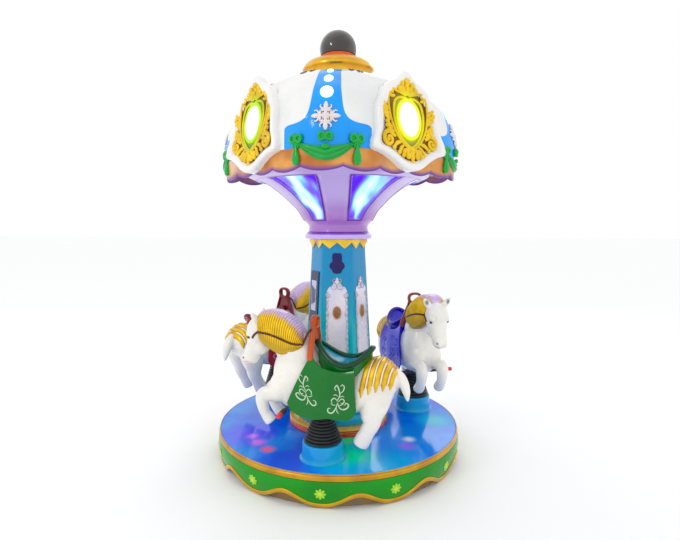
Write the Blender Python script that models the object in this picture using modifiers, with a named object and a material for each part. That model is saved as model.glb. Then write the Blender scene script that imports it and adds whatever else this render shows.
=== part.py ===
"""Three-seat children's carousel: a turning deck, a lit column and canopy, and three horses that bob."""
import math

import bmesh
import bpy
import numpy as np
from mathutils import Matrix, Vector

# Driving dimensions, in metres. Angles are in degrees, counted from -Y (the front) toward +X.
# Heights are counted from a level that stands DATUM above the floor; the last loop lifts every part by it.
DATUM = 0.038
DECK_RADIUS = 0.68
GAP = 0.0003
THIN_WALL = 0.006

BASE_RADIUS = 0.636
BASE_HEIGHT = 0.100
BEARING_RADIUS = 0.090

DECK_TOP = 0.129
DECK_THICKNESS = 0.018
RIM_BOTTOM = 0.096
RIM_OUTER = 0.672
RIM_WIDTH = 0.008
SCALLOPS = 12
HEM_LOW = -0.034
HEM_HIGH = 0.022
HEM_SHARPNESS = 1.35
HEM_BAND = 0.022
SKIRT_BULGE_HEIGHT = 0.068
SKIRT_BULGE = 0.676
SKIRT_STEEPNESS = (1.6, 4.0)
HEM_RELIEF = (0.003, 0.007, 0.004)
RING_COLUMNS = 72

PLINTH_RADIUS = 0.280
PLINTH_HEIGHT = 0.040
FOOT_RADIUS = 0.230
FOOT_HEIGHT = 0.048

COLUMN_SIDES = 6
COLUMN_TURN = 4.0
COLUMN_TOP = 1.163
COLUMN_RINGS = ((0.209, 0.0), (0.189, 0.515), (0.154, 1.100), (0.154, COLUMN_TOP))
CROWN_HEIGHT = 0.055
CROWN_WIDTH = 0.008
COLLAR_RADIUS = 0.185
COLLAR_HEIGHT = 0.040
CONTROL_PLATE = (0.100, 0.290, 0.006)
CONTROL_HEIGHT = 0.845
CONTROL_ANGLE = COLUMN_TURN - 60.0

FLARE_PROFILE = ((0.167, 1.2035), (0.164, 1.236), (0.194, 1.270), (0.222, 1.316), (0.252, 1.347),
                 (0.308, 1.399), (0.373, 1.446), (0.421, 1.471), (0.462, 1.483), (0.497, 1.500))
FLARE_WALL = 0.008
WINDOWS = 6
WINDOW_SPAN = 41.0
WINDOW_LOW = 1.335
WINDOW_HIGH = 1.462

CEILING = 1.520
VALANCE_TOP = 1.578
VALANCE_LOW = 1.476
VALANCE_HIGH = 1.496
VALANCE_SCALLOPS = 20
VALANCE_THICKNESS = 0.010
CANOPY_SIDES = 4
CANOPY_TURN = 1.0
CANOPY_COLUMNS = 4 * VALANCE_SCALLOPS
CORNER_PROFILE = ((0.192, 2.014), (0.340, 1.984), (0.436, 1.944), (0.509, 1.889), (0.560, 1.845),
                  (0.590, 1.800), (0.632, 1.705), (0.641, 1.640), (0.634, VALANCE_TOP))
SIDE_PROFILE = ((0.192, 2.014), (0.300, 1.985), (0.380, 1.952), (0.440, 1.915), (0.482, 1.860),
                (0.500, 1.795), (0.518, 1.700), (0.528, 1.630), (0.534, VALANCE_TOP))
CORNER_SHARPNESS = 14.0

BOARD_TOP = (0.494, 1.958)
BOARD_BOTTOM = (0.556, 1.493)
BOARD_THICKNESS = 0.016
BOARD_HALF = ((0.000, 0.235), (0.060, 0.192), (0.128, 0.158), (0.160, 0.105), (0.196, 0.055),
              (0.212, -0.005), (0.232, -0.055), (0.258, -0.110), (0.248, -0.146), (0.188, -0.156),
              (0.122, -0.190), (0.052, -0.224), (0.000, -0.235))
CARTOUCHE_HALF = ((0.000, 0.196), (0.040, 0.178), (0.066, 0.142), (0.112, 0.128), (0.132, 0.086),
                  (0.146, 0.030), (0.162, -0.020), (0.158, -0.070), (0.188, -0.106), (0.178, -0.142),
                  (0.120, -0.140), (0.070, -0.172), (0.000, -0.200))
CARTOUCHE_THICKNESS = 0.012

CAP_BOTTOM = 2.0143
CAP_TOP = 2.1246
CAP_PROFILE = ((0.107, 0.0), (0.130, -0.003), (0.160, -0.016), (0.183, -0.036), (0.194, -0.054),
               (0.194, -0.062), (0.186, -0.070))
NECK_RADIUS = 0.095
NECK_TOP = 2.149
GLOBE_RADIUS = 0.101
GLOBE_CENTRE = 2.182
GLOBE_STEPS = 9

HORSE_COUNT = 3
HORSE_CIRCLE = 0.490
HORSE_SHIFT = -0.015
HORSE_TURN = -7.5
HORSE_LIFTS = (0.0, 0.025, 0.030)
POST_TURN = -1.8
PEDESTAL_PROFILE = ((0.094, 0.0817), (0.098, 0.078), (0.1005, 0.050), (0.102, 0.020), (0.104, 0.006),
                    (0.108, 0.0))
BELLOWS_BOTTOM = 0.2113
BELLOWS_TOP = 0.3372
BELLOWS_RADII = (0.050, 0.095)
BELLOWS_FOLDS = 8
BELLOWS_DEPTH = 0.007
BOSS_RADIUS = 0.046
BOSS_TOP = 0.400
PEG_PLACE = (0.176, 0.373)
PEG_RADIUS = 0.008
PEG_HALF_LENGTH = 0.187
HOLE_SIDES = 12

# The horse in its own frame: +X forward, +Y to its left, heights above the ground at the first horse.
# The torso is upright sections: (x, top, bottom, half width).
TORSO = ((-0.350, 0.548, 0.502, 0.022), (-0.336, 0.584, 0.468, 0.074), (-0.304, 0.616, 0.436, 0.105),
         (-0.258, 0.636, 0.413, 0.121), (-0.205, 0.620, 0.392, 0.121), (-0.150, 0.572, 0.366, 0.116),
         (-0.080, 0.552, 0.352, 0.111), (0.000, 0.570, 0.350, 0.109), (0.080, 0.632, 0.350, 0.107),
         (0.160, 0.664, 0.351, 0.103), (0.212, 0.652, 0.378, 0.090), (0.238, 0.618, 0.412, 0.072),
         (0.252, 0.575, 0.450, 0.048), (0.258, 0.530, 0.480, 0.020))
# The other stations are (x, y, z, half depth across the path, half width); y is mirrored for pairs.
NECK = ((0.095, 0.0, 0.560, 0.080, 0.080), (0.130, 0.0, 0.612, 0.092, 0.086),
        (0.180, 0.0, 0.672, 0.088, 0.080), (0.238, 0.0, 0.722, 0.074, 0.070),
        (0.290, 0.0, 0.755, 0.062, 0.061), (0.325, 0.0, 0.768, 0.050, 0.054))
HEAD = ((0.318, 0.0, 0.788, 0.022, 0.030), (0.330, 0.0, 0.768, 0.044, 0.052),
        (0.343, 0.0, 0.735, 0.058, 0.064), (0.350, 0.0, 0.690, 0.052, 0.060),
        (0.361, 0.0, 0.645, 0.048, 0.050), (0.379, 0.0, 0.606, 0.046, 0.041),
        (0.392, 0.0, 0.578, 0.036, 0.036), (0.394, 0.0, 0.560, 0.014, 0.016))
FORE_LEG = ((0.165, 0.050, 0.450, 0.040, 0.036), (0.215, 0.056, 0.440, 0.043, 0.038),
            (0.262, 0.060, 0.435, 0.038, 0.034), (0.294, 0.062, 0.428, 0.036, 0.033),
            (0.303, 0.062, 0.402, 0.034, 0.032), (0.300, 0.062, 0.365, 0.028, 0.028),
            (0.287, 0.062, 0.334, 0.026, 0.027), (0.272, 0.062, 0.314, 0.029, 0.030),
            (0.256, 0.062, 0.294, 0.022, 0.024))
HIND_LEG = ((-0.240, 0.052, 0.540, 0.070, 0.045), (-0.246, 0.064, 0.480, 0.084, 0.052),
            (-0.240, 0.066, 0.420, 0.072, 0.046), (-0.235, 0.066, 0.375, 0.055, 0.040),
            (-0.232, 0.065, 0.335, 0.042, 0.034), (-0.214, 0.064, 0.295, 0.036, 0.031),
            (-0.192, 0.063, 0.254, 0.038, 0.032), (-0.178, 0.063, 0.226, 0.028, 0.026))
EAR = ((0.334, 0.040, 0.776, 0.013, 0.017), (0.339, 0.055, 0.795, 0.015, 0.019),
       (0.345, 0.068, 0.812, 0.010, 0.013), (0.350, 0.078, 0.826, 0.003, 0.004))
TAIL = ((-0.325, 0.0, 0.565, 0.022, 0.024), (-0.352, 0.0, 0.545, 0.024, 0.030),
        (-0.372, 0.0, 0.510, 0.023, 0.032), (-0.383, 0.0, 0.474, 0.018, 0.024),
        (-0.388, 0.0, 0.445, 0.010, 0.012), (-0.390, 0.0, 0.430, 0.003, 0.003))
TUBE_SIDES = 10
TORSO_SIDES = 14
LEG_SIDES = 8

# The mane from front to rear: (crest x, crest z, low x, low z, half width at the low edge, widest half).
MANE = ((0.338, 0.806, 0.322, 0.722, 0.058, 0.052), (0.315, 0.826, 0.316, 0.700, 0.064, 0.064),
        (0.275, 0.834, 0.290, 0.676, 0.070, 0.078), (0.232, 0.830, 0.252, 0.652, 0.074, 0.088),
        (0.190, 0.812, 0.206, 0.634, 0.078, 0.094), (0.150, 0.780, 0.170, 0.640, 0.082, 0.094),
        (0.118, 0.742, 0.138, 0.652, 0.082, 0.088), (0.100, 0.705, 0.112, 0.664, 0.076, 0.074),
        (0.092, 0.672, 0.096, 0.668, 0.050, 0.048))
MANE_SHARES = (1.0, 0.72, 0.45, 0.22, 0.0)
MANE_DEPTH = 0.012
MANE_FALL = 0.85
MANE_SPREAD = 0.75
MANE_WIDEST = 0.74
MANE_DRAW_IN = 3.0

# The saddle cloth's upper and lower edges on a flank, front to rear: (x, half width, z).
CLOTH_HIGH_EDGE = ((0.050, 0.080, 0.640), (0.012, 0.094, 0.598), (-0.045, 0.102, 0.572),
                   (-0.105, 0.104, 0.566), (-0.160, 0.104, 0.580))
CLOTH_LOW_EDGE = ((0.160, 0.122, 0.408), (0.110, 0.134, 0.372), (0.035, 0.140, 0.355), (-0.040, 0.134, 0.368),
                  (-0.092, 0.132, 0.360), (-0.140, 0.130, 0.366), (-0.176, 0.124, 0.398))
CLOTH_STATIONS = 11
CLOTH_SHARES = (0.0, 0.3, 0.65, 1.0)
CLOTH_SWELL = 0.018
CLOTH_THICKNESS = 0.006
CLOTH_TOP_DEPTH = 0.030
# The seat's rim is a loop round its middle that rises to the pommel and the cantle.
SEAT_MIDDLE = (-0.096, 0.586)
SEAT_HALF = (0.128, 0.090)
SEAT_LOW = 0.568
POMMEL_RISE = 0.122
POMMEL_SHARPNESS = 2.6
POMMEL_PINCH = 0.35
CANTLE_RISE = 0.104
CANTLE_SHARPNESS = 2.8
RIM_RADIUS = 0.011
SEAT_FLOOR = 0.530
SEAT_FLOOR_SHARE = 0.85
# Rings of the bowl inside the rim: the share of the reach, and the share of the height.
BOWL_RINGS = ((0.6, 0.33), (0.2, 0.03))
SEAT_COLUMNS = 20
HANDLE_X = 0.055
HANDLE_THICKNESS = 0.015
HANDLE_HALF = ((0.000, 0.817), (0.024, 0.813), (0.040, 0.800), (0.043, 0.783), (0.041, 0.754), (0.054, 0.724),
               (0.072, 0.684), (0.088, 0.640), (0.091, 0.612), (0.068, 0.612), (0.066, 0.640), (0.052, 0.680),
               (0.000, 0.684))
LOOP_HALF = (0.0285, 0.0185)
LOOP_HEIGHT = 0.783
LOOP_SIDES = 12

COLOURS = {
    "blue": ((0.0, 0.30, 0.90), 0.25, 0.0),
    "teal": ((0.0, 0.32, 0.55), 0.30, 0.0),
    "green": ((0.0, 0.30, 0.03), 0.30, 0.0),
    "gold": ((0.70, 0.42, 0.03), 0.30, 0.6),
    "red": ((0.45, 0.02, 0.03), 0.35, 0.0),
    "white": ((0.85, 0.83, 0.78), 0.30, 0.0),
    "grey": ((0.30, 0.27, 0.25), 0.60, 0.0),
    "lilac": ((0.52, 0.36, 0.85), 0.35, 0.0),
    "glow": ((0.45, 0.75, 1.00), 0.20, 0.0),
    "black": ((0.02, 0.02, 0.02), 0.60, 0.0),
    "navy": ((0.02, 0.04, 0.22), 0.35, 0.0),
    "cobalt": ((0.01, 0.01, 0.60), 0.35, 0.0),
    "orange": ((0.75, 0.18, 0.02), 0.30, 0.0),
    "smoke": ((0.03, 0.03, 0.03), 0.08, 0.0),
}


def clear_scene():
    for item in list(bpy.data.objects):
        bpy.data.objects.remove(item, do_unlink=True)


def new_collection(name, hidden):
    group = bpy.data.collections.new(name)
    bpy.context.scene.collection.children.link(group)
    group.hide_render = hidden
    return group


def material(colour):
    """One Principled material for each sub-part, from the named colours."""
    rgb, roughness, metallic = COLOURS[colour]
    result = bpy.data.materials.new(colour)
    result.use_nodes = True
    shader = result.node_tree.nodes["Principled BSDF"]
    shader.inputs["Base Color"].default_value = (*rgb, 1.0)
    shader.inputs["Roughness"].default_value = roughness
    shader.inputs["Metallic"].default_value = metallic
    return result


def add_part(name, mesh, colour, smooth_angle=35.0):
    mesh.name = name
    mesh.materials.clear()
    mesh.materials.append(material(colour))
    mesh.shade_smooth()
    mesh.set_sharp_from_angle(angle=math.radians(smooth_angle))
    part = bpy.data.objects.new(name, mesh)
    PARTS.objects.link(part)
    return part


def add_cutter(name, mesh):
    cutter = bpy.data.objects.new(name, mesh)
    CUTTERS.objects.link(cutter)
    cutter.hide_render = True
    cutter.display_type = "WIRE"
    return cutter


def polar(radius, degrees, height):
    angle = math.radians(degrees)
    return Vector((radius * math.sin(angle), -radius * math.cos(angle), height))


def mesh_from(vertices, faces):
    mesh = bpy.data.meshes.new("shape")
    mesh.from_pydata([tuple(v) for v in vertices], [], faces)
    shell = bmesh.new()
    shell.from_mesh(mesh)
    bmesh.ops.recalc_face_normals(shell, faces=shell.faces)
    shell.to_mesh(mesh)
    shell.free()
    return mesh


def loft(rings, closed_path=False):
    """A closed skin over rings of equal count. An open path gets a flat cap at each end."""
    count = len(rings[0])
    vertices = [point for ring in rings for point in ring]
    faces = []
    spans = len(rings) if closed_path else len(rings) - 1
    for row in range(spans):
        here = row * count
        there = ((row + 1) % len(rings)) * count
        for column in range(count):
            after = (column + 1) % count
            faces.append((here + column, here + after, there + after, there + column))
    if not closed_path:
        faces.append(tuple(reversed(range(count))))
        last = (len(rings) - 1) * count
        faces.append(tuple(last + column for column in range(count)))
    return mesh_from(vertices, faces)


def evaluated_mesh(item):
    graph = bpy.context.evaluated_depsgraph_get()
    return bpy.data.meshes.new_from_object(item.evaluated_get(graph))


def welded(mesh):
    shell = bmesh.new()
    shell.from_mesh(mesh)
    bmesh.ops.remove_doubles(shell, verts=shell.verts, dist=0.00001)
    bmesh.ops.recalc_face_normals(shell, faces=shell.faces)
    shell.to_mesh(mesh)
    shell.free()
    return mesh


def turned(name, profile, colour, segments=48, closed=False, place=(0, 0, 0)):
    """A profile at +X, running down its outer side, turned by a Screw modifier."""
    mesh = bpy.data.meshes.new(name)
    count = len(profile)
    edges = [(index, index + 1) for index in range(count - 1)]
    if closed:
        edges.append((count - 1, 0))
    mesh.from_pydata([(radius, 0.0, height) for radius, height in profile], edges, [])
    part = add_part(name, mesh, colour)
    part.location = place
    screw = part.modifiers.new("turn", "SCREW")
    screw.steps = segments
    screw.render_steps = segments
    screw.use_merge_vertices = True
    screw.merge_threshold = 0.00005
    screw.use_smooth_shade = True
    return part


def outline_mesh(outline, depth, holes=()):
    """A flat outline in the XY plane with a thickness of depth, centred on it."""
    curve = bpy.data.curves.new("outline", "CURVE")
    curve.dimensions = "2D"
    curve.fill_mode = "BOTH"
    curve.extrude = depth / 2
    for points in (outline, *holes):
        spline = curve.splines.new("POLY")
        spline.points.add(len(points) - 1)
        spline.use_cyclic_u = True
        for point, (x, y) in zip(spline.points, points):
            point.co = (x, y, 0.0, 1.0)
    guide = bpy.data.objects.new("outline", curve)
    CUTTERS.objects.link(guide)
    bpy.context.view_layer.update()
    mesh = welded(evaluated_mesh(guide))
    bpy.data.objects.remove(guide, do_unlink=True)
    return mesh


def combine(first, second, operation):
    """The Boolean of two closed meshes, as a new mesh."""
    one = add_cutter("first", first)
    two = add_cutter("second", second)
    step = one.modifiers.new("combine", "BOOLEAN")
    step.operation = operation
    step.solver = "EXACT"
    step.use_self = True
    step.object = two
    bpy.context.view_layer.update()
    result = welded(evaluated_mesh(one))
    bpy.data.objects.remove(one, do_unlink=True)
    bpy.data.objects.remove(two, do_unlink=True)
    return result


def triangulated(mesh):
    """Faces split once, so that a piece cut to this one meets the same facets."""
    shell = bmesh.new()
    shell.from_mesh(mesh)
    bmesh.ops.triangulate(shell, faces=shell.faces)
    shell.to_mesh(mesh)
    shell.free()
    return mesh


def grown(mesh, distance):
    """A copy of a mesh with every point moved out along its normal."""
    copy = mesh.copy()
    shell = bmesh.new()
    shell.from_mesh(copy)
    shell.normal_update()
    normals = [vertex.normal.copy() for vertex in shell.verts]
    for vertex, normal in zip(shell.verts, normals):
        vertex.co += normal * distance
    shell.to_mesh(copy)
    shell.free()
    return copy


def tube(stations, sides=TUBE_SIDES, mirror=1.0):
    """Elliptic sections across a path that runs mostly in the XZ plane."""
    centres = [Vector((x, y * mirror, z)) for x, y, z, _, _ in stations]
    rings = []
    for index, (_, _, _, half_height, half_width) in enumerate(stations):
        before = centres[max(index - 1, 0)]
        after = centres[min(index + 1, len(centres) - 1)]
        along = after - before
        across = Vector((-along.z, 0.0, along.x)).normalized()
        ring = []
        for step in range(sides):
            angle = 2.0 * math.pi * step / sides
            ring.append(centres[index] + across * (half_height * math.cos(angle))
                        + Vector((0.0, half_width * math.sin(angle), 0.0)))
        rings.append(ring)
    return loft(rings)


# Base and turning deck

def skirt_radius(height):
    """The skirt bulges most at one height and draws in below and above it."""
    offset = (height - SKIRT_BULGE_HEIGHT) / DECK_RADIUS
    below, above = SKIRT_STEEPNESS
    steepness = below if offset < 0.0 else above
    return SKIRT_BULGE - DECK_RADIUS * steepness * offset * offset


def hem_height(degrees):
    wave = 0.5 - 0.5 * math.cos(math.radians(degrees * SCALLOPS))
    return HEM_LOW + (HEM_HIGH - HEM_LOW) * wave ** HEM_SHARPNESS


def make_base():
    turned("base_drum", (
        (0.0, DECK_TOP - DECK_THICKNESS - GAP), (BEARING_RADIUS, DECK_TOP - DECK_THICKNESS - GAP),
        (BEARING_RADIUS, BASE_HEIGHT), (BASE_RADIUS - 0.008, BASE_HEIGHT),
        (BASE_RADIUS, BASE_HEIGHT - 0.008), (BASE_RADIUS, -DATUM), (0.0, -DATUM)), "grey", 48)


def make_deck():
    edge = RIM_OUTER - RIM_WIDTH - GAP
    bottom = DECK_TOP - DECK_THICKNESS
    turned("deck", ((0.0, DECK_TOP), (edge, DECK_TOP), (edge, bottom), (0.0, bottom)), "blue", 48)
    inner = RIM_OUTER - RIM_WIDTH
    top = DECK_TOP - 0.001
    turned("rim_band", ((inner, top), (RIM_OUTER - 0.004, top), (RIM_OUTER - 0.001, top - 0.004),
                        (RIM_OUTER, RIM_BOTTOM + 0.010), (RIM_OUTER - 0.003, RIM_BOTTOM),
                        (inner, RIM_BOTTOM)), "gold", 48, closed=True)


def make_skirt():
    top = RIM_BOTTOM - GAP
    rings = []
    band = []
    for column in range(RING_COLUMNS):
        degrees = 360.0 * column / RING_COLUMNS
        low = hem_height(degrees)
        span = (low, low + HEM_BAND * 0.5, low + HEM_BAND)
        heights = [*span, (low + HEM_BAND + top) / 2, top]
        outer = [polar(skirt_radius(z), degrees, z) for z in heights]
        inner = [polar(skirt_radius(z) - THIN_WALL, degrees, z) for z in reversed(heights)]
        rings.append(outer + inner)
        back = [polar(skirt_radius(z) + 2.0 * GAP, degrees, z) for z in span]
        front = [polar(skirt_radius(z) + depth, degrees, z)
                 for z, depth in zip(reversed(span), HEM_RELIEF)]
        band.append(back + front)
    add_part("skirt", loft(rings, closed_path=True), "green")
    add_part("hem_band", loft(band, closed_path=True), "gold")


# Column

def hexagon(radius, height):
    return [polar(radius, COLUMN_TURN + 30.0 + 60.0 * side, height) for side in range(COLUMN_SIDES)]


def column_radius(height):
    radii, heights = zip(*COLUMN_RINGS)
    return float(np.interp(height, heights, radii))


def make_column():
    deck = DECK_TOP + GAP
    plinth_top = deck + PLINTH_HEIGHT
    turned("plinth", ((0.0, plinth_top), (PLINTH_RADIUS - 0.006, plinth_top),
                      (PLINTH_RADIUS, plinth_top - 0.006), (PLINTH_RADIUS, deck), (0.0, deck)), "red", 36)
    low = plinth_top + GAP
    foot_top = low + FOOT_HEIGHT
    turned("column_foot", ((0.0, foot_top), (FOOT_RADIUS - 0.022, foot_top),
                           (FOOT_RADIUS - 0.007, foot_top - 0.007), (FOOT_RADIUS, foot_top - 0.022),
                           (FOOT_RADIUS, low), (0.0, low)), "teal", 36)
    column_low = foot_top + GAP
    rings = [hexagon(column_radius(column_low), column_low)]
    rings += [hexagon(radius, height) for radius, height in COLUMN_RINGS[1:]]
    add_part("column", loft(rings), "teal", 20.0)
    crown_low = COLUMN_TOP - CROWN_HEIGHT
    inner = column_radius(COLUMN_TOP) + 2.0 * GAP
    outer = inner + CROWN_WIDTH
    corners = []
    for side in range(COLUMN_SIDES):
        degrees = COLUMN_TURN + 30.0 + 60.0 * side
        corners.append([polar(inner, degrees, crown_low), polar(outer, degrees, crown_low),
                        polar(outer, degrees, COLUMN_TOP), polar(inner, degrees, COLUMN_TOP)])
    add_part("column_crown", loft(corners, closed_path=True), "gold", 20.0)
    make_control_plate()
    collar_low = COLUMN_TOP + GAP
    collar_top = collar_low + COLLAR_HEIGHT
    turned("collar", ((0.0, collar_top), (COLLAR_RADIUS - 0.005, collar_top),
                      (COLLAR_RADIUS, collar_top - 0.005), (COLLAR_RADIUS, collar_low + 0.005),
                      (COLLAR_RADIUS - 0.005, collar_low), (0.0, collar_low)), "lilac", 36)


def make_control_plate():
    """A flat plate on the left facet, leaning with the facet's taper."""
    width, height, thickness = CONTROL_PLATE
    apothem = math.cos(math.pi / COLUMN_SIDES)
    low = column_radius(CONTROL_HEIGHT - height / 2) * apothem
    high = column_radius(CONTROL_HEIGHT + height / 2) * apothem
    lean = math.atan2(low - high, height)
    bm = bmesh.new()
    bmesh.ops.create_cube(bm, size=1.0, matrix=Matrix.Diagonal((width, thickness, height, 1.0)))
    mesh = bpy.data.meshes.new("plate")
    bm.to_mesh(mesh)
    bm.free()
    reach = (low + high) / 2 + GAP / math.cos(lean) + thickness / 2
    turn = Matrix.Rotation(math.radians(CONTROL_ANGLE), 4, "Z") @ Matrix.Rotation(-lean, 4, "X")
    mesh.transform(Matrix.Translation(polar(reach, CONTROL_ANGLE, CONTROL_HEIGHT)) @ turn)
    add_part("control_plate", mesh, "navy")


# Flare and light core

def inward(profile, distance):
    """The profile moved toward the axis side by a distance, across its own run."""
    moved = []
    for index, (radius, height) in enumerate(profile):
        before = profile[max(index - 1, 0)]
        after = profile[min(index + 1, len(profile) - 1)]
        run = Vector((after[0] - before[0], after[1] - before[1])).normalized()
        moved.append((radius - run.y * distance, height + run.x * distance))
    return moved


def make_flare():
    bottom = COLUMN_TOP + 2.0 * GAP + COLLAR_HEIGHT
    top = CEILING - GAP
    outer = [(FLARE_PROFILE[0][0], bottom), *FLARE_PROFILE[1:], (0.500, top)]
    inner = inward(outer, FLARE_WALL)
    core = inward(outer, FLARE_WALL + 2.0 * GAP)
    inner[0] = (inner[0][0], bottom)
    core[0] = (core[0][0], bottom)
    inner[-1] = (inner[-2][0] + 0.004, top)
    core[-1] = (core[-2][0] + 0.002, top)
    ring = list(reversed(outer)) + inner
    flare = turned("flare", ring, "lilac", 36, closed=True)
    for window in range(WINDOWS):
        cutter = add_cutter(f"window_cut_{window + 1}", window_cutter(COLUMN_TURN + 30.0 + 60.0 * window))
        cut = flare.modifiers.new(f"window_{window + 1}", "BOOLEAN")
        cut.operation = "DIFFERENCE"
        cut.solver = "EXACT"
        cut.object = cutter
    turned("light_core", [(0.0, top), *reversed(core), (0.0, bottom)], "glow", 36)


def window_cutter(middle):
    """A wedge between two heights, wide enough to pass through the flare's wall."""
    near, far = 0.14, 0.52
    half = WINDOW_SPAN / 2
    rings = []
    for height in (WINDOW_LOW, WINDOW_HIGH):
        rings.append([polar(near, middle - half, height), polar(far, middle - half, height),
                      polar(far, middle + half, height), polar(near, middle + half, height)])
    return loft(rings)


# Canopy

def side_blend(degrees, corner, side):
    """A rounded square: flat sides at 45 degrees off the axes, joined by round corners."""
    span = 360.0 / CANOPY_SIDES
    off_side = (degrees % span) - span / 2
    flat = side / math.cos(math.radians(off_side))
    power = CORNER_SHARPNESS
    return (flat ** -power + corner ** -power) ** (-1.0 / power)


def canopy_point(degrees, row):
    """The top edge is round, the sides turn flat below it, and the ridges of the sides stand higher."""
    corner_radius, corner_height = CORNER_PROFILE[row]
    side_radius, side_height = SIDE_PROFILE[row]
    span = 360.0 / CANOPY_SIDES
    off_side = abs((degrees % span) - span / 2) / (span / 2)
    ease = 0.5 + 0.5 * math.cos(math.pi * min(1.0, off_side * 1.25))
    squareness = min(1.0, row / 4.0)
    round_radius = corner_radius + (side_radius - corner_radius) * ease
    square_radius = side_blend(degrees, corner_radius, side_radius)
    radius = round_radius + (square_radius - round_radius) * squareness
    return polar(radius, degrees + CANOPY_TURN, corner_height + (side_height - corner_height) * ease)


def plan_radius(degrees, shrink):
    return side_blend(degrees, CORNER_PROFILE[-1][0], SIDE_PROFILE[-1][0]) - shrink


def canopy_mesh():
    columns = [360.0 * index / CANOPY_COLUMNS for index in range(CANOPY_COLUMNS)]
    rings = [[canopy_point(degrees, row) for degrees in columns] for row in range(len(CORNER_PROFILE))]
    step = VALANCE_THICKNESS + GAP
    for height in (VALANCE_TOP, CEILING):
        rings.append([polar(plan_radius(degrees, step), degrees + CANOPY_TURN, height) for degrees in columns])
    return triangulated(loft(rings))


def valance_mesh():
    rings = []
    for index in range(CANOPY_COLUMNS):
        degrees = 360.0 * index / CANOPY_COLUMNS
        wave = abs(math.cos(math.radians(degrees * VALANCE_SCALLOPS / 2)))
        low = VALANCE_HIGH - (VALANCE_HIGH - VALANCE_LOW) * wave
        top = VALANCE_TOP - GAP
        middle = (low + top) / 2
        rings.append([polar(plan_radius(degrees, inset), degrees + CANOPY_TURN, height) for inset, height in (
            (0.004, low), (0.001, middle), (0.0, top),
            (VALANCE_THICKNESS - GAP, top), (VALANCE_THICKNESS - GAP, middle), (VALANCE_THICKNESS, low))])
    return triangulated(loft(rings, closed_path=True))


def make_canopy():
    body = canopy_mesh()
    valance = valance_mesh()
    make_boards(grown(body, GAP), grown(valance, GAP))
    add_part("canopy", body, "blue", 30.0)
    add_part("valance", valance, "gold")


def mirrored(half):
    return list(half) + [(-x, y) for x, y in reversed(half[1:-1])]


def board_frame(degrees, out):
    """The board's own frame: X across, Y up the leaning board, Z outward, at a distance off its plane."""
    top = polar(BOARD_TOP[0], degrees, BOARD_TOP[1])
    bottom = polar(BOARD_BOTTOM[0], degrees, BOARD_BOTTOM[1])
    up = (top - bottom).normalized()
    across = Vector((math.cos(math.radians(degrees)), math.sin(math.radians(degrees)), 0.0))
    outward = across.cross(up)
    centre = (top + bottom) / 2 + outward * out
    turn = Matrix((across, up, outward)).transposed().to_4x4()
    return Matrix.Translation(centre) @ turn


def make_boards(body_skin, valance_skin):
    """Each board's back is cut to the canopy's side; the gold frame and its lamp stand on its front."""
    deep = 0.030
    for side in range(CANOPY_SIDES):
        degrees = CANOPY_TURN + 45.0 + 90.0 * side
        plate = outline_mesh(mirrored(BOARD_HALF), BOARD_THICKNESS + deep)
        plate.transform(board_frame(degrees, -deep / 2))
        plate = combine(plate, body_skin.copy(), "DIFFERENCE")
        plate = combine(plate, valance_skin.copy(), "DIFFERENCE")
        add_part(f"board_{side + 1}", plate, "white")
        frame = outline_mesh(mirrored(CARTOUCHE_HALF), CARTOUCHE_THICKNESS)
        frame.transform(board_frame(degrees, (BOARD_THICKNESS + CARTOUCHE_THICKNESS) / 2 + GAP))
        add_part(f"cartouche_{side + 1}", frame, "gold")


def make_top():
    turned("cap", [(0.0, CAP_TOP)] + [(radius, CAP_TOP + drop) for radius, drop in CAP_PROFILE]
           + [(CAP_PROFILE[-1][0], CAP_BOTTOM), (0.0, CAP_BOTTOM)], "gold", 32)
    low = CAP_TOP + GAP
    turned("neck", ((0.0, NECK_TOP), (NECK_RADIUS - 0.008, NECK_TOP), (NECK_RADIUS, NECK_TOP - 0.010),
                    (NECK_RADIUS + 0.004, low + 0.004), (NECK_RADIUS + 0.004, low), (0.0, low)), "orange", 28)
    seat = NECK_TOP + GAP
    lowest = math.acos((seat - GLOBE_CENTRE) / GLOBE_RADIUS)
    arc = []
    for step in range(GLOBE_STEPS + 1):
        angle = lowest * step / GLOBE_STEPS
        arc.append((GLOBE_RADIUS * math.sin(angle), GLOBE_CENTRE + GLOBE_RADIUS * math.cos(angle)))
    turned("globe", [*arc, (0.0, seat)], "smoke", 20)


# Horses

def horse_frame(index):
    """A horse's frame: heading along its circle, turned a little inward, at its own height of the bob."""
    degrees = 360.0 / HORSE_COUNT * index
    centre = polar(HORSE_CIRCLE + HORSE_SHIFT, degrees, HORSE_LIFTS[index])
    heading = math.radians(degrees + 180.0 + HORSE_TURN)
    return Matrix.Translation(centre) @ Matrix.Rotation(heading, 4, "Z")


def post_place():
    """The lifting post's place in the horse's frame."""
    return horse_frame(0).inverted() @ polar(HORSE_CIRCLE, POST_TURN, 0.0)


def torso_mesh():
    rings = []
    for x, top, bottom, half_width in TORSO:
        ring = []
        for step in range(TORSO_SIDES):
            angle = 2.0 * math.pi * step / TORSO_SIDES
            ring.append(Vector((x, half_width * math.sin(angle),
                                (top + bottom) / 2 + (top - bottom) / 2 * math.cos(angle))))
        rings.append(ring)
    return loft(rings)


def mane_point(station, share, side):
    """From the crest (share 0) down to the low edge (share 1), widest between the two."""
    crest_x, crest_z, low_x, low_z, edge_half, wide_half = station
    fall = 1.0 - max(0.0, math.cos(share * math.pi / 2)) ** MANE_FALL
    spread = math.sin(min(1.0, share / MANE_WIDEST) * math.pi / 2) ** MANE_SPREAD
    half = spread * (wide_half + (edge_half - wide_half) * share ** MANE_DRAW_IN)
    return Vector((crest_x + (low_x - crest_x) * fall, side * half, crest_z + (low_z - crest_z) * fall))


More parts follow.
